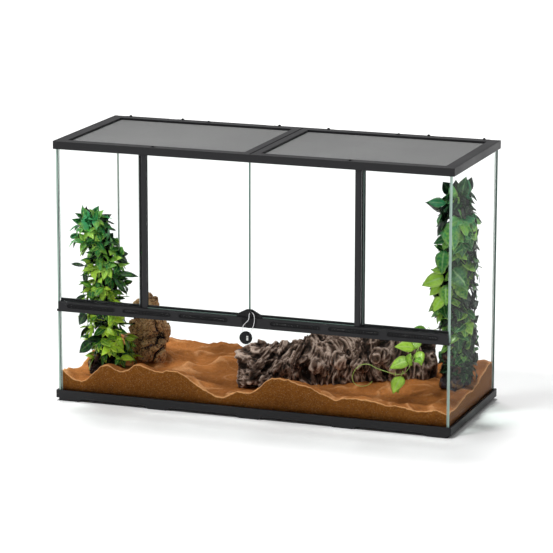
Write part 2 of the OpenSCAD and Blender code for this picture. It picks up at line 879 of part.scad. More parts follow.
// Stacked blocks with dark crevices between them
module rock() {
    span = [rock_w, rock_w, rock_h + rock_sink];
    color([0.5, 0.38, 0.26])
        on_sand()
            translate([rock_x, rock_y, sand_at(rock_x, rock_y) - rock_sink])
                for (b = BLOCKS)
                    boulder([for (k = [0:2]) b[0][k] * span[k]], [for (k = [0:2]) b[1][k] * span[k]],
                        b[2]);
}

log_a = [inner_x - log_in, -72]; // middle of the log's left end
log_turn = 19; // turn of the log against the front
log_n = 20;
log_sides = 12;
log_sink = 14; // how deep the log lies in the sand
knots = [[60, -50, 0.5], [120, -64, 0.45], [175, -60, 0.6], [230, -66, 0.4], [290, -62, 0.55],
    [345, -66, 0.45], [400, -60, 0.6], [455, -58, 0.4], [70, 10, 0.85], [500, 10, 0.9]];

function log_half(s) = 52 + 14 * sin(180 * s) + 5 * sin(900 * s);
function log_top(s) = 82 + 56 * sin(140 * s + 2) + 6 * sin(1100 * s);

// Split log lying hollow side down, with bark ridges along its front
module bark_log() {
    rings = [
        for (i = [0:log_n], k = [0:log_sides - 1])
            let (s = i / log_n, a = 360 * k / log_sides, f = 1 + 0.06 * sin(i * 97 + k * 143))
            [log_l * s, log_half(s) * f * cos(a), max(log_top(s) * f * sin(a), -log_sink)]
    ];
    color([0.42, 0.34, 0.29])
        on_sand()
            translate([log_a[0], log_a[1], foot_h + sand_low + 16])
                rotate([0, 0, log_turn]) {
                    skin(rings, log_n + 1, log_sides);
                    for (k = knots)
                        boulder([k[0], k[1], log_top(k[0] / log_l) * k[2]], [46, 22, 30],
                            [k[0] % 40, 30, k[0] % 70]);
                    // roots that reach forward at the left end
                    boulder([36, -78, 26], [60, 46, 34], [0, 20, 50]);
                    boulder([90, -84, 18], [54, 40, 26], [8, 10, 20]);
                }
}

cane_r = 6;

// One leaf: two flat halves folded along the middle
module leaf(length, width, fold) {
    for (s = [-1, 1])
        rotate([s * fold, 0, 0])
            hull()
                linear_extrude(1.2)
                    polygon([[0, 0], [length * 0.28, s * width / 2],
                        [length * 0.62, s * width * 0.42], [length, 0]]);
}

// Leaves in a rising spiral round a cane, their length given at its foot and at its top
module foliage(low, high, count, length, width, seed) {
    droops = rands(-20, 55, count, seed);
    sizes = rands(0.75, 1.15, count, seed + 1);
    translate([0, 0, low - 40]) cylinder(h = high - low, r1 = cane_r, r2 = cane_r * 0.6, $fn = 10);
    for (i = [0:count - 1]) {
        f = i / (count - 1);
        reach = (length[0] + (length[1] - length[0]) * f) * sizes[i];
        translate([0, 0, low + (high - low - 60) * f])
            rotate([0, 0, i * 137.5])
                translate([3, 0, 0])
                    rotate([0, i == count - 1 ? -80 : droops[i] - 14, 0])
                        leaf(reach, width * sizes[i], 14);
    }
}

// Keeps foliage clear of the panes
module inside_case() {
    intersection() {
        children();
        block([-inner_x + 2, -inner_y + 2, 0], [inner_x - 2, inner_y - 2, lid_z - 20]);
    }
}

// Irregular foot of a plant: lumps stacked round the cane's socket
module plant_foot(at, height, r_low, r_high, turn) {
    z = sand_at(at[0], at[1]);
    rows = 4;
    on_sand()
        difference() {
            for (i = [0:rows - 1], k = [0:2]) {
                f = i / (rows - 1);
                r = r_low + (r_high - r_low) * f;
                a = turn + i * 47 + k * 120;
                boulder([at[0] + r * 0.42 * cos(a), at[1] + r * 0.42 * sin(a),
                        z - 8 + (height - 4) * f * 0.86],
                    [r * 1.05, r * 0.9, height * 0.42 + 12], [10 * k, 8 * i - 10, a]);
            }
            translate([at[0], at[1], z + 12]) cylinder(h = height + 80, r = cane_r + slip, $fn = 24);
        }
}

module left_plant_foot() {
    color([0.35, 0.22, 0.12]) plant_foot(left_plant, left_foot_h, 50, 34, 10);
}

module right_foot_shape() { plant_foot(right_plant, right_foot_h, 42, 26, 30); }

module right_plant_foot() {
    color([0.25, 0.18, 0.18]) right_foot_shape();
}

module left_foliage() {
    z = sand_at(left_plant[0], left_plant[1]) + left_foot_h + 26;
    color([0.3, 0.5, 0.15])
        inside_case()
            translate([left_plant[0], left_plant[1], 0])
                foliage(z, left_plant_h, left_leaves, left_leaf_l * [1.1, 0.87], left_leaf_w, 7);
}

module right_foliage() {
    z = sand_at(right_plant[0], right_plant[1]) + right_foot_h + 30;
    color([0.12, 0.36, 0.18])
        inside_case()
            translate([right_plant[0], right_plant[1], 0])
                foliage(z, right_plant_h, right_leaves, right_leaf_l * [1.15, 0.78], right_leaf_w, 11);
}

// Creeper: from the right plant's foot, down in front of the log and curled up on itself.
// Plan position from the plant's axis, height above the lowest sand
VINE_TURNS = [
    [-26, -6, 184], [-42, -20, 192], [-58, -46, 188], [-68, -76, 174], [-76, -102, 152],
    [-84, -122, 126], [-92, -134, 102], [-106, -141, 86], [-130, -143, 82], [-158, -144, 88],
    [-184, -145, 95], [-206, -146, 104], [-228, -146, 101], [-245, -146, 87], [-254, -146, 67],
    [-252, -146, 50], [-238, -146, 40], [-220, -146, 40], [-206, -146, 46], [-196, -146, 56]
];
VINE = [for (p = VINE_TURNS) [right_plant[0], right_plant[1], foot_h + sand_low] + p];
vine_r = 1.6;

// Leaves of the creeper: point on its stem, tilt, turn, length
VINE_LEAVES = [
    [3, 10, -150, 40], [4, 20, -30, 50], [4, 75, -100, 46], [5, -20, -160, 44], [7, 70, -110, 52],
    [8, 60, -70, 38]
];

module vine() {
    color([0.4, 0.6, 0.2])
        difference() {
            union() {
                tube(VINE, vine_r, 6);
                for (l = VINE_LEAVES)
                    translate(VINE[l[0]]) rotate([0, l[1], l[2]]) leaf(l[3], l[3] * 0.78, 16);
            }
            right_foot_shape();
        }
}

base_frame();
floor_pane();
back_pane();
left_pane();
right_pane();
front_pane();
left_side_light();
right_side_light();
left_post();
right_post();
vent_strip();
vent_inserts();
keeper_plate();
top_rim();
left_door_pane();
left_door_stile();
left_door_tab();
right_door_pane();
right_door_stile();
right_door_tab();
left_lid_frame();
left_lid_mesh();
left_lid_grips();
right_lid_frame();
right_lid_mesh();
right_lid_grips();
port_slider_1();
port_slider_2();
port_slider_3();
port_slider_4();
port_slider_5();
port_slider_6();
lock_case();
lock_cable();
lock_dial_1();
lock_dial_2();
lock_dial_3();
sand_bed();
rock();
bark_log();
left_plant_foot();
left_foliage();
right_plant_foot();
right_foliage();
vine();
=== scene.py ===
import json
import math
import random
import bpy
import bmesh
from mathutils import Matrix, Vector, noise
from mathutils.bvhtree import BVHTree


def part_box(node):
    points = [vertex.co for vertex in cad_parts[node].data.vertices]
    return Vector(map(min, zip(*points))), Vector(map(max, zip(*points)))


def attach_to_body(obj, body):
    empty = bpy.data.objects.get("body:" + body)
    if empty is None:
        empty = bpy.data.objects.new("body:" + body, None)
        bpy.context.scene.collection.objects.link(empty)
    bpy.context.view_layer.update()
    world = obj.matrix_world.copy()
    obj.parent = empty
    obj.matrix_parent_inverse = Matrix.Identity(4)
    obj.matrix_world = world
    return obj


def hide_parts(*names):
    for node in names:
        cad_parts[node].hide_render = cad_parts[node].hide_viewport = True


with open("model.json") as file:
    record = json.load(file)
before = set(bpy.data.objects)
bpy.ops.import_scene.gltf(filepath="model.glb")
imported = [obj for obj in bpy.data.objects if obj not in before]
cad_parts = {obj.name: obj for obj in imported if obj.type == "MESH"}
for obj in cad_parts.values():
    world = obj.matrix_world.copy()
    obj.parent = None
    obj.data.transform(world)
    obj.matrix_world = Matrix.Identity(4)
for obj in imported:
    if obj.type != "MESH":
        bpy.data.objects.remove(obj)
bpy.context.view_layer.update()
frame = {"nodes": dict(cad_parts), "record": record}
scene = bpy.context.scene
scene.view_settings.view_transform = "Standard"
nodes = frame["nodes"]
print("frame loaded with", len(nodes), "nodes")


# Camera
cameraView = {
    "place": (2.93803, -8.07161, 2.31666),
    "turn": 20.008,      # degrees to the left of straight ahead
    "tilt": -12.827,     # degrees from the horizon
    "roll": 0.092,
    "lens": 201.72,      # millimetres on a 36 mm sensor
}


def makeCamera(view):
    data = bpy.data.cameras.new("studioCamera")
    data.lens, data.sensor_width = view["lens"], 36.0
    data.clip_start, data.clip_end = 0.1, 200.0
    camera = bpy.data.objects.new("studioCamera", data)
    scene.collection.objects.link(camera)
    turn, tilt, roll = (math.radians(view[k]) for k in ("turn", "tilt", "roll"))
    camera.matrix_world = (Matrix.Translation(view["place"]) @ Matrix.Rotation(turn, 4, "Z")
                           @ Matrix.Rotation(math.pi / 2 + tilt, 4, "X") @ Matrix.Rotation(roll, 4, "Z"))
    scene.camera = camera


makeCamera(cameraView)
print("camera placed")


# Mesh helpers
def finishPiece(piece, body, material, replaced=()):
    piece.data.materials.clear()
    piece.data.materials.append(material)
    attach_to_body(piece, body)
    if replaced:
        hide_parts(*replaced)


def newPiece(name, mesh, body, material, replaced=()):
    piece = bpy.data.objects.new(name, mesh)
    scene.collection.objects.link(piece)
    finishPiece(piece, body, material, replaced)
    return piece


def meshFrom(name, vertices, faces, smooth=True):
    mesh = bpy.data.meshes.new(name)
    mesh.from_pydata([tuple(v) for v in vertices], [], faces)
    mesh.polygons.foreach_set("use_smooth", [smooth] * len(mesh.polygons))
    mesh.update()
    return mesh


def giveNumbers(mesh, name, values):
    mesh.attributes.new(name, "FLOAT", "POINT").data.foreach_set("value", values)


def giveVectors(mesh, name, values):
    flat = [number for vector in values for number in vector]
    mesh.attributes.new(name, "FLOAT_VECTOR", "POINT").data.foreach_set("vector", flat)


def smoothRoute(points, perSpan):  # Catmull-Rom route through given points
    points = [Vector(p) for p in points]
    ends = [points[0] * 2 - points[1], *points, points[-1] * 2 - points[-2]]
    route = []
    for a, b, c, d in zip(ends, ends[1:], ends[2:], ends[3:]):
        for i in range(perSpan):
            t = i / perSpan
            route.append(0.5 * (2 * b + (c - a) * t + (2 * a - 5 * b + 4 * c - d) * t * t
                                + (3 * b - a - 3 * c + d) * t ** 3))
    return route + [points[-1]]


def tubeAlong(route, radiusAt, sides):  # radiusAt gets the distance travelled and the angle
    vertices, faces, travelled = [], [], 0.0
    side = Vector((0.13, 0.98, 0.11))
    for i, point in enumerate(route):
        ahead = (route[min(i + 1, len(route) - 1)] - route[max(i - 1, 0)]).normalized()
        side = (side - ahead * side.dot(ahead)).normalized()
        other = ahead.cross(side)
        travelled += (point - route[i - 1]).length if i else 0.0
        for k in range(sides):
            angle = math.tau * k / sides
            radius = radiusAt(travelled, angle)
            vertices.append(point + radius * (math.cos(angle) * side + math.sin(angle) * other))
    for i in range(len(route) - 1):
        for k in range(sides):
            a, b = i * sides + k, i * sides + (k + 1) % sides
            faces.append((a, b, b + sides, a + sides))
    last = (len(route) - 1) * sides
    faces.append(tuple(range(sides - 1, -1, -1)))
    faces.append(tuple(range(last, last + sides)))
    return vertices, faces


def joinShapes(name, shapes, smooth=True):
    vertices, faces = [], []
    for more, around in shapes:
        start = len(vertices)
        vertices += more
        faces += [tuple(i + start for i in face) for face in around]
    return meshFrom(name, vertices, faces, smooth)


def mergeInto(target, meshes):  # fills the target with all the meshes, as loose parts
    whole = bmesh.new()
    for mesh in meshes:
        whole.from_mesh(mesh)
    whole.to_mesh(target)
    whole.free()
    return target


def mergedCopy(node, name):  # a frame node's mesh is loose triangles, so its doubles are merged first
    mesh = nodes[node].data.copy()
    mesh.name = name
    shape = bmesh.new()
    shape.from_mesh(mesh)
    bmesh.ops.remove_doubles(shape, verts=shape.verts, dist=0.00001)
    shape.to_mesh(mesh)
    shape.free()
    return mesh


def baked(piece, name):  # a plain mesh of the piece with its modifiers applied
    bpy.context.view_layer.update()
    evaluated = piece.evaluated_get(bpy.context.evaluated_depsgraph_get())
    mesh = bpy.data.meshes.new_from_object(evaluated)
    mesh.name = name
    bpy.data.objects.remove(piece)
    return mesh


# Node helpers
def attach(tree, socket, value):
    if isinstance(value, bpy.types.NodeSocket):
        tree.links.new(value, socket)
    elif socket.type == "RGBA" and len(value) == 3:
        socket.default_value = (*value, 1)
    else:
        socket.default_value = value


def place(tree, kind, inputs=None, **settings):
    node = tree.nodes.new(kind)
    for key, value in settings.items():
        setattr(node, key, value)
    for key, value in (inputs or {}).items():
        attach(tree, node.inputs[key], value)
    return node


def calc(tree, operation, *values, clamp=False):
    node = place(tree, "ShaderNodeMath", operation=operation, use_clamp=clamp)
    for socket, value in zip(node.inputs, values):
        attach(tree, socket, value)
    return node.outputs[0]


def blendColour(tree, factor, first, second, mode="MIX"):
    node = place(tree, "ShaderNodeMix", data_type="RGBA", blend_type=mode)
    for index, value in ((0, factor), (6, first), (7, second)):
        attach(tree, node.inputs[index], value)
    return node.outputs[2]


def layered(tree, body, *layers):  # each layer is a share and its colour
    for share, colour in layers:
        body = blendColour(tree, share, body, colour)
    return body


def times(tree, *values):
    product = values[0]
    for value in values[1:]:
        product = calc(tree, "MULTIPLY", product, value)
    return product


def bumped(tree, shader, height, strength, distance):
    bump = place(tree, "ShaderNodeBump", {"Height": height, "Strength": strength, "Distance": distance})
    attach(tree, shader.inputs["Normal"], bump.outputs[0])


def remap(tree, value, low, high, newLow=0.0, newHigh=1.0):
    return place(tree, "ShaderNodeMapRange", {0: value, 1: low, 2: high, 3: newLow, 4: newHigh}).outputs[0]


def grains(tree, scale, detail=3.0, stretch=None, coords=None):  # noise on Object coordinates
    vector = coords or place(tree, "ShaderNodeTexCoord").outputs["Object"]
    if stretch:
        vector = place(tree, "ShaderNodeMapping", {"Vector": vector, "Scale": stretch}).outputs[0]
    noiseNode = place(tree, "ShaderNodeTexNoise", {"Vector": vector, "Scale": scale, "Detail": detail})
    return noiseNode.outputs["Fac"]


def readNumber(tree, name):
    return place(tree, "ShaderNodeAttribute", attribute_name=name).outputs["Fac"]


def newGroup(name, takes, gives, kind="ShaderNodeTree"):
    tree = bpy.data.node_groups.new(name, kind)
    for label, socketType, value in takes:
        socket = tree.interface.new_socket(label, in_out="INPUT", socket_type=socketType)
        if value is not None:
            socket.default_value = value
    for label, socketType in gives:
        tree.interface.new_socket(label, in_out="OUTPUT", socket_type=socketType)
    return tree, tree.nodes.new("NodeGroupInput").outputs, tree.nodes.new("NodeGroupOutput").inputs


def useGroup(tree, group, inputs=None):
    return place(tree, tree.bl_idname.replace("NodeTree", "NodeGroup"), inputs, node_tree=group)


def newMaterial(name, settings):
    material = bpy.data.materials.new(name)
    material.use_nodes = True
    shader = material.node_tree.nodes["Principled BSDF"]
    for key, value in settings.items():
        attach(material.node_tree, shader.inputs[key], value)
    return material, material.node_tree, shader


# Shared surface effects
def edgeWearGroup():  # rounded edges, and a mask of where they are rubbed
    tree, takes, gives = newGroup(
        "edgeWear",
        [("Radius", "NodeSocketFloat", 0.0006), ("Patch Scale", "NodeSocketFloat", 40.0)],
        [("Worn", "NodeSocketFloat"), ("Normal", "NodeSocketVector")])
    rounded = place(tree, "ShaderNodeBevel", {"Radius": takes["Radius"]}, samples=4)
    facing = place(tree, "ShaderNodeNewGeometry").outputs["Normal"]
    agree = place(tree, "ShaderNodeVectorMath", {0: rounded.outputs[0], 1: facing}, operation="DOT_PRODUCT")
    edge = remap(tree, agree.outputs["Value"], 0.98, 0.8)
    patches = remap(tree, grains(tree, takes["Patch Scale"]), 0.42, 0.7)
    tree.links.new(calc(tree, "MULTIPLY", edge, patches), gives["Worn"])
    tree.links.new(rounded.outputs[0], gives["Normal"])
    return tree


def fineGrainGroup():  # moulded grain or sanding marks
    tree, takes, gives = newGroup(
        "fineGrain",
        [("Scale", "NodeSocketFloat", 900.0), ("Depth", "NodeSocketFloat", 0.1),
         ("Smudge Scale", "NodeSocketFloat", 9.0), ("Normal", "NodeSocketVector", None)],
        [("Normal", "NodeSocketVector"), ("Smudge", "NodeSocketFloat")])
    height = grains(tree, takes["Scale"], 2.0)
    bump = place(tree, "ShaderNodeBump", {"Height": height, "Strength": takes["Depth"],
                                          "Distance": 0.0004, "Normal": takes["Normal"]})
    tree.links.new(bump.outputs[0], gives["Normal"])
    tree.links.new(remap(tree, grains(tree, takes["Smudge Scale"], 5.0), 0.3, 0.7), gives["Smudge"])
    return tree


def dustFilmGroup():  # a thin film on faces that look up
    tree, takes, gives = newGroup(
        "dustFilm", [("Amount", "NodeSocketFloat", 0.2), ("Scale", "NodeSocketFloat", 14.0)],
        [("Mask", "NodeSocketFloat")])
    facing = place(tree, "ShaderNodeNewGeometry").outputs["Normal"]
    up = place(tree, "ShaderNodeSeparateXYZ", {0: facing}).outputs["Z"]
    patches = remap(tree, grains(tree, takes["Scale"], 6.0), 0.3, 0.75, 0.4, 1.0)
    film = calc(tree, "MULTIPLY", remap(tree, up, 0.5, 1.0), patches)
    tree.links.new(calc(tree, "MULTIPLY", film, takes["Amount"]), gives["Mask"])
    return tree


def speckleGroup():  # scattered light and dark grains
    tree, takes, gives = newGroup(
        "speckle", [("Scale", "NodeSocketFloat", 700.0), ("Share", "NodeSocketFloat", 0.1)],
        [("Light", "NodeSocketFloat"), ("Dark", "NodeSocketFloat"), ("Tone", "NodeSocketFloat")])
    coords = place(tree, "ShaderNodeTexCoord").outputs["Object"]
    cells = place(tree, "ShaderNodeTexVoronoi", {"Vector": coords, "Scale": takes["Scale"]})
    tone = place(tree, "ShaderNodeSeparateColor", {0: cells.outputs["Color"]})
    rest = calc(tree, "SUBTRACT", 1.0, takes["Share"])
    tree.links.new(calc(tree, "GREATER_THAN", tone.outputs[0], rest), gives["Light"])
    tree.links.new(calc(tree, "GREATER_THAN", tone.outputs[1], rest), gives["Dark"])
    tree.links.new(tone.outputs[2], gives["Tone"])
    return tree


edgeWear, fineGrain, dustFilm, speckle = edgeWearGroup(), fineGrainGroup(), dustFilmGroup(), speckleGroup()
print("surface effects built")


# Moulded plastics
plasticLooks = {
    "blackPlastic": {"colour": (0.020, 0.020, 0.0215), "worn": (0.06, 0.06, 0.062), "roughness": 0.42},
    "rimPlastic": {"colour": (0.021, 0.021, 0.0225), "worn": (0.07, 0.07, 0.072), "roughness": 0.42},
    "darkTrim": {"colour": (0.006, 0.006, 0.007), "worn": (0.03, 0.03, 0.032), "roughness": 0.4},
    "stilePlastic": {"colour": (0.024, 0.024, 0.026), "worn": (0.06, 0.06, 0.063), "roughness": 0.42},
    "handlePlastic": {"colour": (0.010, 0.010, 0.011), "worn": (0.04, 0.04, 0.04), "roughness": 0.3},
    "lidPlastic": {"colour": (0.022, 0.022, 0.024), "worn": (0.10, 0.10, 0.103), "roughness": 0.4},
    "nubPlastic": {"colour": (0.012, 0.012, 0.013), "worn": (0.05, 0.05, 0.05), "roughness": 0.35},
    "lockBlack": {"colour": (0.006, 0.006, 0.007), "worn": (0.06, 0.06, 0.06), "roughness": 0.26},
    "dialWhite": {"colour": (0.80, 0.80, 0.77), "worn": (0.6, 0.6, 0.58), "roughness": 0.3},
    "edgeRadius": 0.0008,
    "grainDepth": 0.12,
    "dust": 0.03,
    "dustColour": (0.22, 0.21, 0.20),
    "specular": 0.16,
}


def plastic(name, looks):
    look = looks[name]
    material, tree, shader = newMaterial(name, {"Specular IOR Level": looks["specular"]})
    wear = useGroup(tree, edgeWear, {"Radius": looks["edgeRadius"]})
    grain = useGroup(tree, fineGrain, {"Depth": looks["grainDepth"], "Normal": wear.outputs["Normal"]})
    dust = useGroup(tree, dustFilm, {"Amount": looks["dust"]})
    clean = blendColour(tree, wear.outputs["Worn"], look["colour"], look["worn"])
    attach(tree, shader.inputs["Base Color"],
           blendColour(tree, dust.outputs["Mask"], clean, looks["dustColour"]))
    smudged = remap(tree, grain.outputs["Smudge"], 0.0, 1.0,
                    look["roughness"] - 0.04, look["roughness"] + 0.06)
    attach(tree, shader.inputs["Roughness"], smudged)
    attach(tree, shader.inputs["Normal"], grain.outputs["Normal"])
    return material


plastics = {name: plastic(name, plasticLooks)
            for name, look in plasticLooks.items() if isinstance(look, dict)}

plasticNodes = {
    "blackPlastic": ("base_frame", "vent_strip"),
    "rimPlastic": ("top_rim",),
    "darkTrim": ("left_post", "right_post", "vent_inserts", "keeper_plate"),
    "stilePlastic": ("left_door_stile", "right_door_stile"),
    "handlePlastic": ("left_door_tab", "right_door_tab"),
    "lidPlastic": ("left_lid_frame", "right_lid_frame"),
    "nubPlastic": ("left_lid_grips", "right_lid_grips", *(f"port_slider_{i}" for i in range(1, 7))),
    "lockBlack": ("lock_case",),
    "dialWhite": tuple(f"lock_dial_{i}" for i in (1, 2, 3)),
}


def coat(names, material):
    for name in names:
        for holder in nodes[name].material_slots:
            holder.material = material


for name, members in plasticNodes.items():
    coat(members, plastics[name])
print("plastics coated")


# Glass
glassLook = {
    "tint": (0.975, 0.99, 0.983),
    "ior": 1.03,
    "shadowTint": (0.96, 0.985, 0.975),
    "litEdgeColour": (0.36, 0.51, 0.44),
    "shadedEdgeColour": (0.13, 0.22, 0.185),
    "edgeSkin": 0.0002,       # thickness of an edge's skin, painted lit at the front edges and painted shaded elsewhere
    "edgeFace": 0.0022,       # how far an edge's ground bevel shows on the pane's face
}


def glassMaterial(look):
    material, tree, shader = newMaterial("clearGlass", {
        "Base Color": look["tint"], "Roughness": 0.0, "IOR": look["ior"], "Transmission Weight": 1.0})
    rays = place(tree, "ShaderNodeLightPath")
    passing = calc(tree, "MAXIMUM", rays.outputs["Is Shadow Ray"], rays.outputs["Is Diffuse Ray"])
    clear = place(tree, "ShaderNodeBsdfTransparent", {"Color": look["shadowTint"]})
    mixed = place(tree, "ShaderNodeMixShader", {0: passing, 1: shader.outputs[0], 2: clear.outputs[0]})
    tree.links.new(mixed.outputs[0], tree.nodes["Material Output"].inputs["Surface"])
    return material


def edgeMaterial(name, colour):
    material, tree, shader = newMaterial(name, {"Roughness": 0.12, "Coat Weight": 0.3})
    tone = grains(tree, 5.0, 2.0, stretch=(40, 40, 1))
    darker = [c * 0.72 for c in colour]
    streaks = remap(tree, tone, 0.35, 0.65)
    attach(tree, shader.inputs["Base Color"], blendColour(tree, streaks, darker, colour))
    return material


glassNodes = ("floor_pane", "back_pane", "left_pane", "right_pane", "front_pane", "left_side_light",
              "right_side_light", "left_door_pane", "right_door_pane")
clearGlass = glassMaterial(glassLook)
# the green edge colour in two copies: a painted highlight for the front edges and painted shade for the rest
paintedLitEdge = edgeMaterial("paintedLitGlassEdge", glassLook["litEdgeColour"])
paintedShadedEdge = edgeMaterial("shadedEdge", glassLook["shadedEdgeColour"])
coat(glassNodes, clearGlass)


def slab(low, high):
    (x0, y0, z0), (x1, y1, z1) = low, high
    corners = [(x0, y0, z0), (x1, y0, z0), (x1, y1, z0), (x0, y1, z0),
               (x0, y0, z1), (x1, y0, z1), (x1, y1, z1), (x0, y1, z1)]
    return corners, [(0, 3, 2, 1), (4, 5, 6, 7), (0, 1, 5, 4), (1, 2, 6, 5), (2, 3, 7, 6), (3, 0, 4, 7)]


def glassEdges(look):
    skin, face = look["edgeSkin"], look["edgeFace"]
    baseTop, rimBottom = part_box("base_frame")[1].z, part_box("top_rim")[0].z
    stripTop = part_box("vent_strip")[1].z
    front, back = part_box("left_pane")[0].y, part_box("left_pane")[1].y
    light, dark, doors = [], [], {"left_door": [], "right_door": []}
    for side in ("left_pane", "right_pane"):
        low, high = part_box(side)
        light.append(slab((low.x, front - skin, baseTop), (high.x, front, rimBottom)))
        dark.append(slab((low.x, back, baseTop), (high.x, back + skin, rimBottom)))
    for side, sign in (("left_side_light", -1), ("right_side_light", 1)):
        low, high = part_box(side)
        inner = high.x if sign < 0 else low.x
        outer = inner + sign * face * 0.5
        dark.append(slab((min(inner, outer), front - skin, stripTop), (max(inner, outer), front, rimBottom)))
    for body, sign in (("left_door", -1), ("right_door", 1)):
        low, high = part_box(body + "_pane")
        edge = high.x if sign < 0 else low.x
        near, far = edge - sign * skin, edge + sign * face
        doors[body].append(slab((min(near, far), low.y - skin, low.z), (max(near, far), low.y, high.z)))
        doors[body].append(slab((min(near, edge), low.y, low.z), (max(near, edge), high.y, high.z)))
        doors[body].append(slab((low.x, low.y - skin, low.z), (high.x, low.y, low.z + face)))
    # front edges of the side panes get the painted lit colour; back, side-light and door edges get the
    # painted shaded colour
    newPiece("pane_front_edges", joinShapes("paneFrontEdges", light, False), "case", paintedLitEdge)
    newPiece("pane_back_edges", joinShapes("paneBackEdges", dark, False), "case", paintedShadedEdge)
    for body, shapes in doors.items():
        newPiece(body + "_glass_edges", joinShapes(body + "Edges", shapes, False), body,
                 paintedShadedEdge)


glassEdges(glassLook)
print("glass and its edges done")


# Silicone seams in the upright corners of the case
seamLook = {
    "width": 0.0045,
    "gap": 0.0001,
    "colour": (0.52, 0.62, 0.57),
    "roughness": 0.35,
}


def siliconeSeams(look):
    low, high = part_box("front_pane")
    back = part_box("back_pane")[0].y
    floor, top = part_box("floor_pane")[1].z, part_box("top_rim")[0].z
    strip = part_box("vent_strip")[1].z
    shapes = []
    for x, inward in ((low.x, 1), (high.x, -1)):
        for y, out, bottom in ((high.y, 1, floor), (high.y, 1, strip), (back, -1, floor)):
            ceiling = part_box("vent_strip")[0].z if (out > 0 and bottom == floor) else top
            corner = Vector((x + inward * look["gap"], y + out * look["gap"], 0))
            ring = [corner, corner + Vector((inward * look["width"], 0, 0)),
                    corner + Vector((inward * look["width"] * 0.36, out * look["width"] * 0.36, 0)),
                    corner + Vector((0, out * look["width"], 0))]
            lift = [Vector((0, 0, bottom + 0.0003)), Vector((0, 0, ceiling - 0.0003))]
            vertices = [p + z for z in lift for p in ring]
            turns = [(k, (k + 1) % 4, (k + 1) % 4 + 4, k + 4) for k in range(4)]
            shapes.append((vertices, turns + [(3, 2, 1, 0), (4, 5, 6, 7)]))
    mesh = joinShapes("siliconeSeams", shapes, False)
    shape = bmesh.new()
    shape.from_mesh(mesh)
    bmesh.ops.recalc_face_normals(shape, faces=shape.faces)
    shape.to_mesh(mesh)
    shape.free()
    material, tree, shader = newMaterial("clearSilicone", {"Alpha": 0.55})
    ripple = remap(tree, grains(tree, 30.0, 2.0, stretch=(1, 1, 6)), 0.3, 0.7)
    milky = [c * 0.85 for c in look["colour"]]
    attach(tree, shader.inputs["Base Color"], blendColour(tree, ripple, milky, look["colour"]))
    attach(tree, shader.inputs["Roughness"],
           remap(tree, ripple, 0, 1, look["roughness"] - 0.08, look["roughness"] + 0.1))
    newPiece("silicone_seams", mesh, "case", material)


siliconeSeams(seamLook)
print("seams filled")


# Cable of the lock, out of one port, through the eye of the handle and back into the other port
cableLook = {
    "points": [
        (-0.013, -0.235, 0.248), (-0.0155, -0.235, 0.255), (-0.016, -0.2345, 0.262),
        (-0.014, -0.234, 0.269), (-0.010, -0.233, 0.275), (-0.005, -0.232, 0.280),
        (-0.0005, -0.232, 0.2855), (0.002, -0.232, 0.292), (0.0025, -0.232, 0.299),
        (0.004, -0.232, 0.3055), (0.008, -0.232, 0.309), (0.012, -0.232, 0.308),
        (0.0155, -0.232, 0.304), (0.018, -0.232, 0.297), (0.0185, -0.232, 0.289),
        (0.018, -0.2325, 0.281), (0.016, -0.2335, 0.272), (0.013, -0.234, 0.264),
        (0.009, -0.235, 0.256), (0.006, -0.235, 0.249)],
    "length": 0.137,
    "diameter": 0.002,
    "strands": 6,
    "lay": 0.012,          # cable length in which a strand goes once round
    "groove": 0.09,        # depth of the grooves between strands, as a share of the radius
    "steel": (0.86, 0.86, 0.87),
    "sleeve": 0.25,        # roughness of the clear sleeving
}


def lockCable(look):
    material, tree, shader = newMaterial("sleevedSteel", {
        "Metallic": 0.15, "Roughness": look["sleeve"], "Coat Weight": 0.6})
    # the grooves between the strands are painted darker, as shade
    turns = readNumber(tree, "strandGrooveShade")
    dull = [c * 0.45 for c in look["steel"]]
    attach(tree, shader.inputs["Base Color"], blendColour(tree, turns, look["steel"], dull))
    route = smoothRoute(look["points"], 10)
    grooves = []

    def strandRadius(travelled, angle):
        dip = abs(math.sin(look["strands"] / 2 * (angle + math.tau * travelled / look["lay"])))
        grooves.append((1 - dip) ** 2)
        return look["diameter"] / 2 * (1 - look["groove"] * (1 - dip))

    vertices, faces = tubeAlong(route, strandRadius, 24)
    mesh = meshFrom("lockCable", vertices, faces)
    giveNumbers(mesh, "strandGrooveShade", grooves)
    cable = newPiece("steel_cable", mesh, "lock", material, ["lock_cable"])


lockCable(cableLook)
print("cable made")


# Digits on the lock's dials
digitLook = {
    "height": 0.0026,
    "ink": (0.02, 0.02, 0.022),
    "sides": 10,
    "proud": 0.00004,
}


def dialDigits(look):
    ink = newMaterial("digitInk", {"Base Color": look["ink"], "Roughness": 0.45})[0]
    for dial in (1, 2, 3):
        low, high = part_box(f"lock_dial_{dial}")
        middle = (low + high) / 2
        reach = (high.x - low.x) / 2 * math.cos(math.pi / look["sides"]) ** 2 + look["proud"]
        letters = []
        for side in range(look["sides"]):
            text = bpy.data.curves.new("digit", "FONT")
            text.body, text.size = str((side + dial) % 10), look["height"]
            text.align_x, text.align_y = "CENTER", "CENTER"
            text.extrude = look["proud"]
            letter = bpy.data.objects.new("digit", text)
            scene.collection.objects.link(letter)
            mesh = baked(letter, "digit")
            turn = Matrix.Rotation(math.tau * side / look["sides"], 4, "Z")
            mesh.transform(Matrix.Translation(middle) @ turn @ Matrix.Translation((0, -reach, 0))
                           @ Matrix.Rotation(math.pi / 2, 4, "X"))
            letters.append(mesh)
            bpy.data.curves.remove(text)
        digits = mergeInto(bpy.data.meshes.new(f"dialDigits{dial}"), letters)
        newPiece(f"dial_digits_{dial}", digits, f"lock_dial_{dial}", ink)


dialDigits(digitLook)
print("dial digits made")


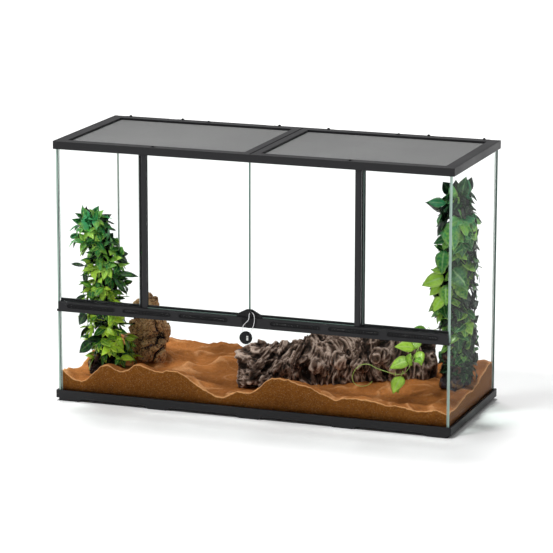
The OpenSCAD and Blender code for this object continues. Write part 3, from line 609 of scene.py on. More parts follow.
# Woven mesh: fine wires in two layers, laid by Geometry Nodes
meshLook = {
    "pitch": 0.0021,
    "wire": 0.00062,
    "steel": (0.36, 0.36, 0.36),
    "dull": (0.30, 0.30, 0.30),
    "roughness": 0.45,
    "gauzePitch": 0.0009,
    "gauzeWire": 0.00055,
    "gauzeLap": 0.003,        # how far the gauze reaches past each slot
    # near-black gauze, which also stands in for the shade inside the vent slots
    "gauze": (0.010, 0.010, 0.011),
}


def wireMaterial(name, bright, dull, roughness):
    material, tree, shader = newMaterial(name, {"Metallic": 0.2})
    cloud = remap(tree, grains(tree, 2.2, 2.0), 0.35, 0.65)
    attach(tree, shader.inputs["Base Color"], blendColour(tree, cloud, dull, bright))
    attach(tree, shader.inputs["Roughness"],
           remap(tree, cloud, 0, 1, roughness + 0.05, roughness - 0.05))
    return material


def screenTree():  # wires along X and along Y inside a rectangle, one layer on the other
    tree, takes, gives = newGroup("wovenScreen", [
        ("Low", "NodeSocketVector", None), ("High", "NodeSocketVector", None),
        ("Pitch", "NodeSocketFloat", 0.0022), ("Wire", "NodeSocketFloat", 0.0005),
        ("Finish", "NodeSocketMaterial", None)], [("Geometry", "NodeSocketGeometry")], "GeometryNodeTree")
    low = place(tree, "ShaderNodeSeparateXYZ", {0: takes["Low"]}).outputs
    high = place(tree, "ShaderNodeSeparateXYZ", {0: takes["High"]}).outputs
    join = place(tree, "GeometryNodeJoinGeometry")
    for across, along, layer in ((0, 1, 0.0), (1, 0, 1.0)):
        span = calc(tree, "SUBTRACT", high[across], low[across])
        length = calc(tree, "SUBTRACT", high[along], low[along])
        count = calc(tree, "FLOOR", calc(tree, "DIVIDE", span, takes["Pitch"]))
        level = calc(tree, "MULTIPLY_ADD", takes["Wire"], layer, low[2])
        middle = calc(tree, "MULTIPLY", calc(tree, "ADD", high[along], low[along]), 0.5)
        start = place(tree, "ShaderNodeCombineXYZ", {across: low[across], along: middle, 2: level})
        step = place(tree, "ShaderNodeCombineXYZ", {across: takes["Pitch"]})
        line = place(tree, "GeometryNodeMeshLine", {"Count": count, "Start Location": start.outputs[0],
                                                    "Offset": step.outputs[0]})
        size = place(tree, "ShaderNodeCombineXYZ", {across: takes["Wire"], along: length, 2: takes["Wire"]})
        wire = place(tree, "GeometryNodeMeshCube", {"Size": size.outputs[0]})
        laid = place(tree, "GeometryNodeInstanceOnPoints",
                     {"Points": line.outputs[0], "Instance": wire.outputs[0]})
        tree.links.new(laid.outputs[0], join.inputs[0])
    real = place(tree, "GeometryNodeRealizeInstances", {0: join.outputs[0]})
    done = place(tree, "GeometryNodeSetMaterial", {"Geometry": real.outputs[0], "Material": takes["Finish"]})
    tree.links.new(done.outputs[0], gives[0])
    return tree


def runTree(name, tree, values, base=None):  # bakes a Geometry Nodes tree to a plain mesh
    piece = bpy.data.objects.new(name, base or bpy.data.meshes.new(name))
    scene.collection.objects.link(piece)
    modifier = piece.modifiers.new("build", "NODES")
    modifier.node_group = tree
    for item in tree.interface.items_tree:
        if item.item_type == "SOCKET" and item.in_out == "INPUT" and item.name in values:
            modifier[item.identifier] = values[item.name]
    return baked(piece, name)


def lidScreens(look, tree):
    steel = wireMaterial("wovenSteel", look["steel"], look["dull"], look["roughness"])
    for side in ("left", "right"):
        low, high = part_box(f"{side}_lid_mesh")
        inset = Vector((0.001, 0.001, 0.0001))
        mesh = runTree(f"{side}Screen", tree, {
            "Low": low + inset, "High": high - inset, "Pitch": look["pitch"],
            "Wire": look["wire"], "Finish": steel})
        newPiece(f"{side}_lid_screen", mesh, f"{side}_lid", steel, [f"{side}_lid_mesh"])


def ventGauze(look, tree):  # insect gauze behind the slots of the vent strip, near black so that it also stands in for the shade inside the slots
    black = wireMaterial("blackGauze", look["gauze"], look["gauze"], look["roughness"])
    patches = []
    spread = Vector((look["gauzeLap"], look["gauzeLap"], 0))
    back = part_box("vent_inserts")[1].y + look["gauzeWire"]
    for opening in frame["record"]["physics"]["openings"]:
        if not opening["name"].startswith("vent_slot"):
            continue
        low, high = (Vector(corner) for corner in opening["box_m"])
        mesh = runTree("gauze", tree, {
            "Low": Vector((low.x, low.z, 0)) - spread, "High": Vector((high.x, high.z, 0)) + spread,
            "Pitch": look["gauzePitch"], "Wire": look["gauzeWire"], "Finish": black})
        mesh.transform(Matrix.Translation((0, back, 0)) @ Matrix.Rotation(math.pi / 2, 4, "X"))
        patches.append(mesh)
    gauze = mergeInto(bpy.data.meshes.new("ventGauze"), patches)
    newPiece("vent_gauze", gauze, "case", black)


screens = screenTree()
lidScreens(meshLook, screens)
ventGauze(meshLook, screens)
print("screens woven")


# Sand, raised from the frame's own surface
sandLook = {
    "columns": 330,
    "rows": 124,
    "soften": 0.006,        # reach of the smoothing of the surface
    "driftHeight": 0.0085,
    "driftScale": 15.0,
    "creaseHeight": 0.0060,
    "creaseScale": 15.0,
    "edgeHeight": 0.0024,   # small slips along the panes
    "edgeScale": 60.0,
    "grainHeight": 0.0007,
    "grainScale": 160.0,
    "crestHighlightWidth": 0.0036,
    "crestDrop": (0.0012, 0.003),
    "lit": (0.52, 0.185, 0.050),
    "shaded": (0.26, 0.085, 0.019),
    "ridgeHighlight": (0.78, 0.38, 0.17),
    "cut": (0.240, 0.080, 0.013),
    "cutDeep": (0.180, 0.056, 0.008),
    "crestHighlight": (0.80, 0.40, 0.17),
    "lightGrain": (0.62, 0.36, 0.17),
    "darkGrain": (0.09, 0.03, 0.008),
    "grainSize": 620.0,
}


def heightFinder(node):
    tree = BVHTree.FromPolygons(*polygonsOf(node))

    def heightAt(x, y):
        hit = tree.ray_cast(Vector((x, y, 1.0)), Vector((0, 0, -1)))[0]
        return hit.z if hit else None
    return heightAt


def polygonsOf(node):
    mesh = nodes[node].data
    return [v.co.copy() for v in mesh.vertices], [tuple(p.vertices) for p in mesh.polygons]


sandAt = heightFinder("sand_bed")


def sandMaterial(look):
    material, tree, shader = newMaterial("desertSand", {"Roughness": 0.92, "Specular IOR Level": 0.1})
    cut, crestHighlight, ridgeHighlight = (readNumber(tree, name) for name in ("sandCut", "sandCrestHighlight", "sandRidgeHighlight"))
    spots = useGroup(tree, speckle, {"Scale": look["grainSize"], "Share": 0.10})
    # random patches of painted light and painted shade on the sand's top
    paintedLightPatches = remap(tree, grains(tree, 9.0, 5.0), 0.36, 0.66)
    surface = blendColour(tree, paintedLightPatches, look["shaded"], look["lit"])
    packed = remap(tree, grains(tree, 240.0, 3.0), 0.4, 0.6)
    wall = blendColour(tree, packed, look["cutDeep"], look["cut"])
    # the ridge and crest colours are painted highlights, laid over the lit and shaded patches
    body = layered(tree, surface, (ridgeHighlight, look["ridgeHighlight"]), (cut, wall), (crestHighlight, look["crestHighlight"]),
                   (times(tree, spots.outputs["Light"], 0.22), look["lightGrain"]),
                   (times(tree, spots.outputs["Dark"], 0.45), look["darkGrain"]))
    attach(tree, shader.inputs["Base Color"], body)
    bumped(tree, shader, spots.outputs["Tone"], 0.35, 0.0008)
    return material


def ridged(spot):  # sharp crests where noise crosses zero
    return (1 - abs(noise.noise(spot)) * 2.2) ** 3


def sandMesh(look):
    low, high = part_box("sand_bed")
    nx, ny = look["columns"], look["rows"]
    soften, edge = look["soften"], 0.0004
    vertices, cuts, crests, ridgeHighlights = [], [], [], []

    def clampTo(value, least, most):
        return max(least, min(most, value))

    for j in range(ny + 1):
        for i in range(nx + 1):
            x, y = low.x + (high.x - low.x) * i / nx, low.y + (high.y - low.y) * j / ny
            total = 0.0
            for dx, dy in ((0, 0), (soften, 0), (-soften, 0), (0, soften), (0, -soften)):
                px = clampTo(x + dx, low.x + edge, high.x - edge)
                total += sandAt(px, clampTo(y + dy, low.y + edge, high.y - edge)) / 5
            spot = Vector((x, y, 0))
            bent = spot + Vector((noise.noise(spot * 9), noise.noise(spot * 9 + Vector((5, 1, 2))), 0)) * 0.02
            broken = clampTo(0.5 + 1.6 * noise.noise(spot * 13 + Vector((8, 3, 0))), 0.0, 1.0)
            crease = ridged(bent * look["creaseScale"]) * broken
            drift = noise.fractal(spot * look["driftScale"], 0.9, 2.1, 4)
            wall = min(y - low.y, high.x - x, x - low.x)
            nearPane = math.exp(-(wall / 0.012) ** 2)
            slips = noise.noise(spot * look["edgeScale"]) - 0.3
            slips += 0.6 * ridged(spot * look["edgeScale"] * 0.6)
            height = drift * look["driftHeight"]
            height += (crease - 0.3) * look["creaseHeight"] * (1 - 0.6 * nearPane)
            height += nearPane * slips * look["edgeHeight"]
            height += noise.noise(spot * look["grainScale"]) * look["grainHeight"]
            vertices.append((x, y, total + height))
            cuts.append(0.0)
            # painted highlight on the sand's top along the panes
            crests.append(math.exp(-(wall / look["crestHighlightWidth"]) ** 2) * 0.85)
            # painted highlight along the crests of the creases
            ridgeHighlights.append(clampTo((crease - 0.35) * 1.1 + drift * 0.35, 0.0, 0.7))
    faces = []
    for j in range(ny):
        for i in range(nx):
            a = j * (nx + 1) + i
            faces.append((a, a + 1, a + nx + 2, a + nx + 1))
    rim = list(range(nx + 1))
    rim += [j * (nx + 1) + nx for j in range(1, ny + 1)]
    rim += [ny * (nx + 1) + i for i in range(nx - 1, -1, -1)]
    rim += [j * (nx + 1) for j in range(ny - 1, 0, -1)]
    above = rim
    thin, thick = look["crestDrop"]
    # the thin first band below the edge keeps most of the painted highlight
    for drop, cut, crestHighlight in ((thin, 0.3, 0.8), (thick, 1.0, 0.0), (None, 1.0, 0.0)):
        start = len(vertices)
        for index in rim:
            x, y, z = vertices[index]
            vertices.append((x, y, low.z if drop is None else z - drop))
            cuts.append(cut)
            crests.append(crestHighlight)
            ridgeHighlights.append(0.0)
        below = list(range(start, start + len(rim)))
        for k in range(len(rim)):
            n = (k + 1) % len(rim)
            faces.append((above[k], below[k], below[n], above[n]))
        above = below
    faces.append(tuple(reversed(above)))
    mesh = meshFrom("sandBed", vertices, faces)
    giveNumbers(mesh, "sandCut", cuts)
    giveNumbers(mesh, "sandCrestHighlight", crests)
    giveNumbers(mesh, "sandRidgeHighlight", ridgeHighlights)
    return mesh


newPiece("sand_surface", sandMesh(sandLook), "case", sandMaterial(sandLook),
         ["sand_bed"])
print("sand poured")


# Rock and bark, weathered from the frame's own forms
def remeshed(node, name, voxel):
    piece = bpy.data.objects.new(name, mergedCopy(node, name))
    scene.collection.objects.link(piece)
    modifier = piece.modifiers.new("even", "REMESH")
    modifier.mode, modifier.voxel_size, modifier.use_smooth_shade = "VOXEL", voxel, True
    return baked(piece, name)


def weather(mesh, depthAt, attribute):  # depthAt gives a vertex's move along its normal, and its mark
    marks, moves = [], []
    for vertex in mesh.vertices:
        depth, mark = depthAt(vertex.co.copy(), vertex.normal.copy())
        moves.append(vertex.normal * depth)
        marks.append(mark)
    for vertex, move in zip(mesh.vertices, moves):
        vertex.co += move
    giveNumbers(mesh, attribute, marks)
    mesh.update()


rockLook = {
    "voxel": 0.0024,
    "lumpScale": 26.0,
    "lumpDepth": 0.007,
    "pitScale": 150.0,
    "pitDepth": 0.0030,
    "crackScale": 15.0,
    "crackDepth": 0.013,
    "tan": (0.56, 0.31, 0.145),
    "brown": (0.25, 0.125, 0.055),
    # pale is a painted highlight on the highest lumps; creviceShade is painted shade in cracks and pits
    "pale": (0.80, 0.56, 0.33),
    "creviceShade": (0.022, 0.013, 0.020),
    "grainSize": 420.0,
}


def rockPiece(look):
    mesh = remeshed("rock", "rockForm", look["voxel"])

    def depthAt(spot, normal):
        lump = noise.noise(spot * look["lumpScale"]) + 0.5 * noise.noise(spot * look["lumpScale"] * 2.3)
        pit = noise.noise(spot * look["pitScale"]) + 0.5 * noise.noise(spot * look["pitScale"] * 2)
        bent = spot + Vector((noise.noise(spot * 30), noise.noise(spot * 30 + Vector((4, 4, 4))), 0)) * 0.008
        split = abs(noise.noise(bent * look["crackScale"] + Vector((3, 7, 1))))
        crack = math.exp(-(split / 0.05) ** 2)
        depth = lump * look["lumpDepth"] + pit * look["pitDepth"] - crack * look["crackDepth"]
        return depth, max(0.0, min(1.0, 0.62 + lump * 0.25 + pit * 0.62 - crack * 0.95))

    weather(mesh, depthAt, "rockHeight")
    material, tree, shader = newMaterial("corkRock", {"Roughness": 0.9, "Specular IOR Level": 0.12})
    height = readNumber(tree, "rockHeight")
    spots = useGroup(tree, speckle, {"Scale": look["grainSize"], "Share": 0.2})
    # crevices and low pits are painted dark as shade and the highest lumps pale as a highlight; the speckles
    # use these two colours too
    body = blendColour(tree, remap(tree, height, 0.10, 0.38), look["creviceShade"], look["brown"])
    body = layered(tree, body, (remap(tree, height, 0.34, 0.6), look["tan"]),
                   (remap(tree, height, 0.75, 1.0, 0.0, 0.8), look["pale"]),
                   (times(tree, spots.outputs["Light"], 0.55), look["pale"]),
                   (times(tree, spots.outputs["Dark"], 0.6), look["creviceShade"]))
    attach(tree, shader.inputs["Base Color"], body)
    bumped(tree, shader, spots.outputs["Tone"], 0.8, 0.0015)
    newPiece("weathered_rock", mesh, "case", material, ["rock"])


rockPiece(rockLook)
print("rock weathered")


barkLook = {
    "voxel": 0.0027,
    "ribScale": 46.0,         # broad ribs, drawn out up and down
    "ribDepth": 0.0085,
    "strandScale": 120.0,     # fine strands between them
    "strandDepth": 0.0030,
    "drawnOut": 0.32,
    "plateScale": 16.0,
    "plateDepth": 0.008,
    "pale": (0.66, 0.49, 0.41),
    "mid": (0.150, 0.088, 0.064),
    "dark": (0.016, 0.009, 0.006),
    "hollow": ((-0.102, -0.112, 0.098), (0.062, 0.040, 0.040)),  # middle and half size of the open end, which is sunk and painted dark as shade
    "grainSize": 420.0,
}


def barkPiece(look):
    mesh = remeshed("bark_log", "barkForm", look["voxel"])
    middle, reach = (Vector(v) for v in look["hollow"])

    def depthAt(spot, normal):
        warp = Vector((noise.noise(spot * 12), noise.noise(spot * 12 + Vector((9, 2, 5))), 0)) * 0.03
        bent = spot + warp
        long = Vector((bent.x, bent.y, bent.z * look["drawnOut"]))
        left = max(0.0, min(1.0, (0.10 - spot.x) / 0.12))        # strands lie flat at the left end
        flat = Vector((bent.x * 0.45, bent.y * 0.45, bent.z * 1.25))
        run = long.lerp(flat, left)
        rib = 1 - abs(noise.noise(run * look["ribScale"])) * 2.4
        strand = 1 - abs(noise.noise(run * look["strandScale"] + Vector((1, 2, 3)))) * 2.4
        plate = noise.noise(spot * look["plateScale"])
        depth = (rib - 0.45) * look["ribDepth"] + (strand - 0.4) * look["strandDepth"]
        depth += plate * look["plateDepth"]
        mark = 0.12 + rib * 0.42 + strand * 0.42 + plate * 0.22
        inside = ((spot - middle) * Vector((1 / reach.x, 1 / reach.y, 1 / reach.z))).length
        if inside < 1.15:
            pull = max(0.0, min(1.0, (1.15 - inside) / 0.3))
            depth -= pull * 0.016
            # the hollow is painted dark as shade
            mark *= 1 - pull
        return depth, max(0.0, min(1.0, mark))

    weather(mesh, depthAt, "barkHeight")
    material, tree, shader = newMaterial("ridgedBark", {"Roughness": 0.8, "Specular IOR Level": 0.25})
    height = readNumber(tree, "barkHeight")
    spots = useGroup(tree, speckle, {"Scale": look["grainSize"], "Share": 0.16})
    # crevices are painted dark as shade and ridges pale as a highlight
    body = blendColour(tree, remap(tree, height, 0.26, 0.60), look["dark"], look["mid"])
    body = layered(tree, body, (remap(tree, height, 0.60, 0.92), look["pale"]),
                   (times(tree, spots.outputs["Dark"], 0.5), look["dark"]))
    attach(tree, shader.inputs["Base Color"], body)
    bumped(tree, shader, spots.outputs["Tone"], 0.7, 0.0015)
    newPiece("cork_log", mesh, "case", material, ["bark_log"])


barkPiece(barkLook)
print("log weathered")


# Leaves, set on listed points by Geometry Nodes
leafLook = {
    "across": 4,
    "along": 6,
    "thickness": 0.02,               # as a share of a leaf's length
    "seed": 11,
    "sizeSpread": 0.22,
    "keepIn": ((-0.5765, -0.2125, 0.07), (0.5765, 0.2130, 0.735)),
    "roughness": 0.34,
    "veinScale": 23.4,
    "forms": {                       # half width along the leaf, sag, fold along the midrib
        "lance": ((0.06, 0.20, 0.27, 0.25, 0.18, 0.08, 0.0), 0.18, 0.24),
        "heart": ((0.10, 0.30, 0.34, 0.31, 0.24, 0.12, 0.0), 0.24, 0.14),
        "strap": ((0.04, 0.10, 0.13, 0.13, 0.11, 0.06, 0.0), 0.22, 0.25),
    },
}


def leafForm(name, look):  # closed leaf of unit length along X, its top and bottom sharing the margin
    widths, sag, fold = look["forms"][name]
    across, along = look["across"], look["along"]
    vertices, faces, lengthwise, sidewise, rows = [], [], [], [], []

    def add(x, y, z, u, v):
        vertices.append((x, y, z))
        lengthwise.append(u)
        sidewise.append(v)
        return len(vertices) - 1

    for i in range(along + 1):
        u = i / along
        x, drop = u - 0.04 * u * u, -sag * u * u
        if i == along:
            tip = add(x, 0, drop, 1.0, 0.0)
            rows.append(([tip] * (across + 1), [tip] * (across + 1)))
            continue
        top, bottom = [], []
        for k in range(across + 1):
            v = 2 * k / across - 1
            y = v * widths[i]
            wave = 0.012 * math.sin(7 * u + 3 * v) * abs(v)
            z = drop + fold * abs(v) * widths[i] * (1 - 0.5 * abs(v)) + wave
            top.append(add(x, y, z, u, v))
            inner = 0 < k < across
            bottom.append(add(x, y, z - look["thickness"], u, v) if inner else top[-1])
        rows.append((top, bottom))
    for (topA, lowA), (topB, lowB) in zip(rows, rows[1:]):
        for k in range(across):
            for ring in ((topA[k], topB[k], topB[k + 1], topA[k + 1]),
                         (lowA[k], lowA[k + 1], lowB[k + 1], lowB[k])):
                faces.append(tuple(dict.fromkeys(ring)))
    top, bottom = rows[0]
    for k in range(across):
        faces.append(tuple(dict.fromkeys((top[k], top[k + 1], bottom[k + 1], bottom[k]))))
    mesh = meshFrom(name + "Leaf", vertices, [face for face in faces if len(face) > 2])
    giveNumbers(mesh, "leafAlong", lengthwise)
    giveNumbers(mesh, "leafAcross", sidewise)
    return bpy.data.objects.new(name + "Leaf", mesh)


def leafTree(look):
    takesList = [("Geometry", "NodeSocketGeometry", None), ("Seed", "NodeSocketInt", look["seed"]),
                 ("Size Spread", "NodeSocketFloat", look["sizeSpread"]), ("Low", "NodeSocketVector", None),
                 ("High", "NodeSocketVector", None), ("Finish", "NodeSocketMaterial", None)]
    takesList += [(name, "NodeSocketObject", None) for name in look["forms"]]
    tree, takes, gives = newGroup("leafTree", takesList, [("Geometry", "NodeSocketGeometry")],
                                  "GeometryNodeTree")
    forms = place(tree, "GeometryNodeGeometryToInstance")
    for name in reversed(list(look["forms"])):
        form = place(tree, "GeometryNodeObjectInfo", {"Object": takes[name]})
        tree.links.new(form.outputs["Geometry"], forms.inputs[0])

    def stored(name, kind):
        return place(tree, "GeometryNodeInputNamedAttribute", {"Name": name}, data_type=kind).outputs[0]

    turn = place(tree, "FunctionNodeAxesToRotation", {0: stored("aim", "FLOAT_VECTOR"),
                                                      1: stored("face", "FLOAT_VECTOR")},
                 primary_axis="X", secondary_axis="Z")
    spread = place(tree, "FunctionNodeRandomValue", {"Seed": takes["Seed"]}, data_type="FLOAT")
    spread.inputs[2].default_value, spread.inputs[3].default_value = -1.0, 1.0
    size = calc(tree, "MULTIPLY_ADD", spread.outputs[1], takes["Size Spread"], 1.0)
    size = calc(tree, "MULTIPLY", size, stored("size", "FLOAT"))
    laid = place(tree, "GeometryNodeInstanceOnPoints", {
        "Points": takes["Geometry"], "Instance": forms.outputs[0], "Pick Instance": True,
        "Instance Index": stored("form", "INT"), "Rotation": turn.outputs[0], "Scale": size})
    real = place(tree, "GeometryNodeRealizeInstances", {0: laid.outputs[0]})
    spot = place(tree, "GeometryNodeInputPosition").outputs[0]
    least = place(tree, "ShaderNodeVectorMath", {0: spot, 1: takes["Low"]}, operation="MAXIMUM")
    held = place(tree, "ShaderNodeVectorMath", {0: least.outputs[0], 1: takes["High"]}, operation="MINIMUM")
    kept = place(tree, "GeometryNodeSetPosition", {"Geometry": real.outputs[0], "Position": held.outputs[0]})
    done = place(tree, "GeometryNodeSetMaterial", {"Geometry": kept.outputs[0], "Material": takes["Finish"]})
    tree.links.new(done.outputs[0], gives[0])
    return tree


leafForms = {name: leafForm(name, leafLook) for name in leafLook["forms"]}
leavesTree = leafTree(leafLook)


def leafMaterial(name, dark, mid, bright, margin, vein, look):
    material, tree, shader = newMaterial(name, {"Specular IOR Level": 0.35})
    tone, along, across = (readNumber(tree, key) for key in ("tone", "leafAlong", "leafAcross"))
    out = calc(tree, "ABSOLUTE", across)
    mottle = remap(tree, grains(tree, 160.0, 3.0), 0.3, 0.7, -0.16, 0.16)
    level = calc(tree, "ADD", tone, mottle)
    body = blendColour(tree, remap(tree, level, 0.0, 0.5), dark, mid)
    lighter = times(tree, remap(tree, out, 0.55, 1.0), remap(tree, level, 0.15, 0.9), 0.75)
    body = layered(tree, body, (remap(tree, level, 0.45, 1.0), bright), (lighter, margin))
    wave = calc(tree, "MULTIPLY_ADD", out, 0.35, times(tree, along, -1.0))
    ribs = calc(tree, "ABSOLUTE", calc(tree, "SINE", times(tree, wave, look["veinScale"])))
    ribs = times(tree, remap(tree, ribs, 0.16, 0.0), 0.45)
    midrib = remap(tree, out, 0.16, 0.02)
    veins = times(tree, calc(tree, "MAXIMUM", ribs, midrib), remap(tree, level, 0.05, 0.6, 0.1, 0.7))
    body = blendColour(tree, veins, body, vein)
    attach(tree, shader.inputs["Base Color"], body)
    attach(tree, shader.inputs["Roughness"],
           remap(tree, grains(tree, 90.0, 2.0), 0.3, 0.7,
                 look["roughness"] - 0.06, look["roughness"] + 0.12))
    bumped(tree, shader, veins, 0.5, 0.0006)
    return material


def growLeaves(name, leaves, finish, look):  # leaves: (point, aim, face, size, form, tone)
    base = meshFrom(name + "Points", [leaf[0] for leaf in leaves], [])
    giveVectors(base, "aim", [leaf[1] for leaf in leaves])
    giveVectors(base, "face", [leaf[2] for leaf in leaves])
    giveNumbers(base, "size", [leaf[3] for leaf in leaves])
    giveNumbers(base, "tone", [leaf[5] for leaf in leaves])
    picks = [list(look["forms"]).index(leaf[4]) for leaf in leaves]
    base.attributes.new("form", "INT", "POINT").data.foreach_set("value", picks)
    values = {"Seed": look["seed"], "Size Spread": look["sizeSpread"], "Low": look["keepIn"][0],
              "High": look["keepIn"][1], "Finish": finish, **leafForms}
    return runTree(name, leavesTree, values, base)


def twigMesh(name, routes):  # thin closed twigs, each from its start to its end
    shapes = []
    for start, end, radius in routes:
        middle = (start + end) / 2 + Vector((0, 0, 0.012))
        shapes.append(tubeAlong(smoothRoute([start, middle, end], 3), lambda travelled, angle: radius, 5))
    return joinShapes(name, shapes)


plantLooks = {
    "left": {
        "axis": (-0.486, -0.112),
        "reach": (1.0, 0.85),
        "rows": [  # height, shift across, shift back, reach
            (0.520, -0.022, -0.03, 0.034), (0.495, -0.024, -0.03, 0.050), (0.468, -0.018, -0.03, 0.058),
            (0.440, -0.004, -0.01, 0.054), (0.410, 0.006, 0, 0.058), (0.380, 0.008, 0, 0.062),
            (0.350, 0.008, 0, 0.066), (0.320, 0.004, 0, 0.070), (0.290, -0.004, 0, 0.074),
            (0.260, -0.004, 0, 0.076), (0.230, 0, 0, 0.076),
            (0.200, 0.006, 0, 0.076), (0.172, 0.018, 0, 0.078),
            (0.146, 0.024, 0, 0.080), (0.120, 0.028, 0, 0.076)],
        "tufts": 7,
        "leavesPerTuft": 5,
        "form": "lance",
        "size": 0.039,
        "drop": (0.1, 0.75),          # droop at the top and at the foot
        "tones": (0.48, 0.66),        # mean tone at the top and at the foot
        "special": [  # shift from the axis, height, aim, size, form, tone
            ((0.040, -0.02, 0.410), (0.9, -0.1, -0.25), 0.052, "strap", 0.02),
            ((0.045, -0.02, 0.365), (1.0, 0.0, -0.02), 0.060, "strap", 0.14),
            ((0.045, -0.03, 0.350), (0.65, 0.0, -0.75), 0.072, "strap", 0.12),
            ((-0.030, -0.05, 0.455), (-0.35, -0.2, -0.85), 0.052, "strap", 0.0),
            ((-0.040, -0.05, 0.385), (-0.9, 0.0, 0.12), 0.046, "strap", 0.02),
            ((-0.035, -0.05, 0.300), (-0.8, 0.0, -0.35), 0.042, "strap", 0.05),
            ((-0.030, -0.06, 0.250), (-0.6, -0.1, -0.75), 0.052, "heart", 0.03),
            ((-0.015, -0.06, 0.165), (-0.75, -0.2, -0.55), 0.056, "heart", 0.08),
            ((-0.005, -0.05, 0.515), (0.2, -0.1, 0.95), 0.034, "lance", 0.35)],
        "dark": (0.001, 0.012, 0.006),
        "mid": (0.020, 0.190, 0.016),
        "bright": (0.56, 0.84, 0.045),
        "margin": (0.78, 0.90, 0.14),
        "vein": (0.52, 0.74, 0.14),
        "high": (0.020, 0.420, 0.190),    # painted teal sheen that the leaves shift to at the top
        "seed": 4,
    },
    "right": {
        "axis": (0.518, 0.042),
        "reach": (0.80, 0.95),
        "rows": [
            (0.625, 0.006, 0, 0.040), (0.595, 0, 0, 0.062),
            (0.565, 0.002, 0, 0.068), (0.535, 0.006, 0, 0.070),
            (0.505, 0.006, 0, 0.070), (0.475, 0.004, 0, 0.070), (0.445, 0.008, 0, 0.072),
            (0.415, 0.004, 0, 0.070), (0.385, -0.004, 0, 0.078), (0.355, -0.004, 0, 0.078),
            (0.325, 0, 0, 0.074), (0.295, 0.004, 0, 0.070),
            (0.265, 0.012, 0, 0.068), (0.235, 0.018, 0, 0.066),
            (0.205, 0.018, 0, 0.062), (0.175, 0.016, 0, 0.058), (0.145, 0.018, 0, 0.052)],
        "tufts": 6,
        "leavesPerTuft": 4,
        "form": "heart",
        "size": 0.047,
        "drop": (0.45, 0.6),
        "tones": (0.46, 0.06),
        "special": [
            ((0.018, -0.02, 0.628), (0.15, -0.1, 0.95), 0.052, "heart", 0.18),
            ((-0.015, -0.060, 0.612), (-0.95, -0.2, 0.1), 0.050, "lance", 0.35),
            ((0.010, -0.075, 0.430), (0.5, -0.4, -0.25), 0.090, "heart", 0.42),
            ((-0.005, -0.080, 0.385), (0.1, -0.4, -0.65), 0.066, "heart", 0.62),
            ((0.025, -0.075, 0.395), (0.75, -0.3, -0.35), 0.074, "heart", 0.55),
            ((-0.015, -0.070, 0.405), (-0.8, -0.3, -0.25), 0.056, "heart", 0.95),
            ((-0.025, -0.070, 0.380), (-0.7, -0.3, -0.6), 0.052, "heart", 1.0),
            ((-0.015, -0.075, 0.350), (-0.5, -0.4, -0.75), 0.050, "heart", 0.95),
            ((-0.010, -0.070, 0.425), (-0.8, -0.4, 0.1), 0.048, "heart", 0.85),
            ((0.060, 0.02, 0.435), (0.6, 0.1, 0.6), 0.048, "strap", 0.05),
            ((0.070, 0.02, 0.420), (0.2, 0.1, -0.9), 0.058, "strap", 0.05),
            ((0.000, -0.070, 0.560), (0.2, -0.4, -0.7), 0.070, "heart", 0.60),
            ((-0.015, -0.070, 0.480), (0.0, -0.4, -0.75), 0.064, "heart", 0.50)],
        "dark": (0.0015, 0.011, 0.005),
        "mid": (0.016, 0.165, 0.028),
        "bright": (0.40, 0.70, 0.06),
        "margin": (0.60, 0.80, 0.22),
        "vein": (0.42, 0.64, 0.26),
        "high": (0.020, 0.380, 0.180),
        "seed": 9,
    },
}


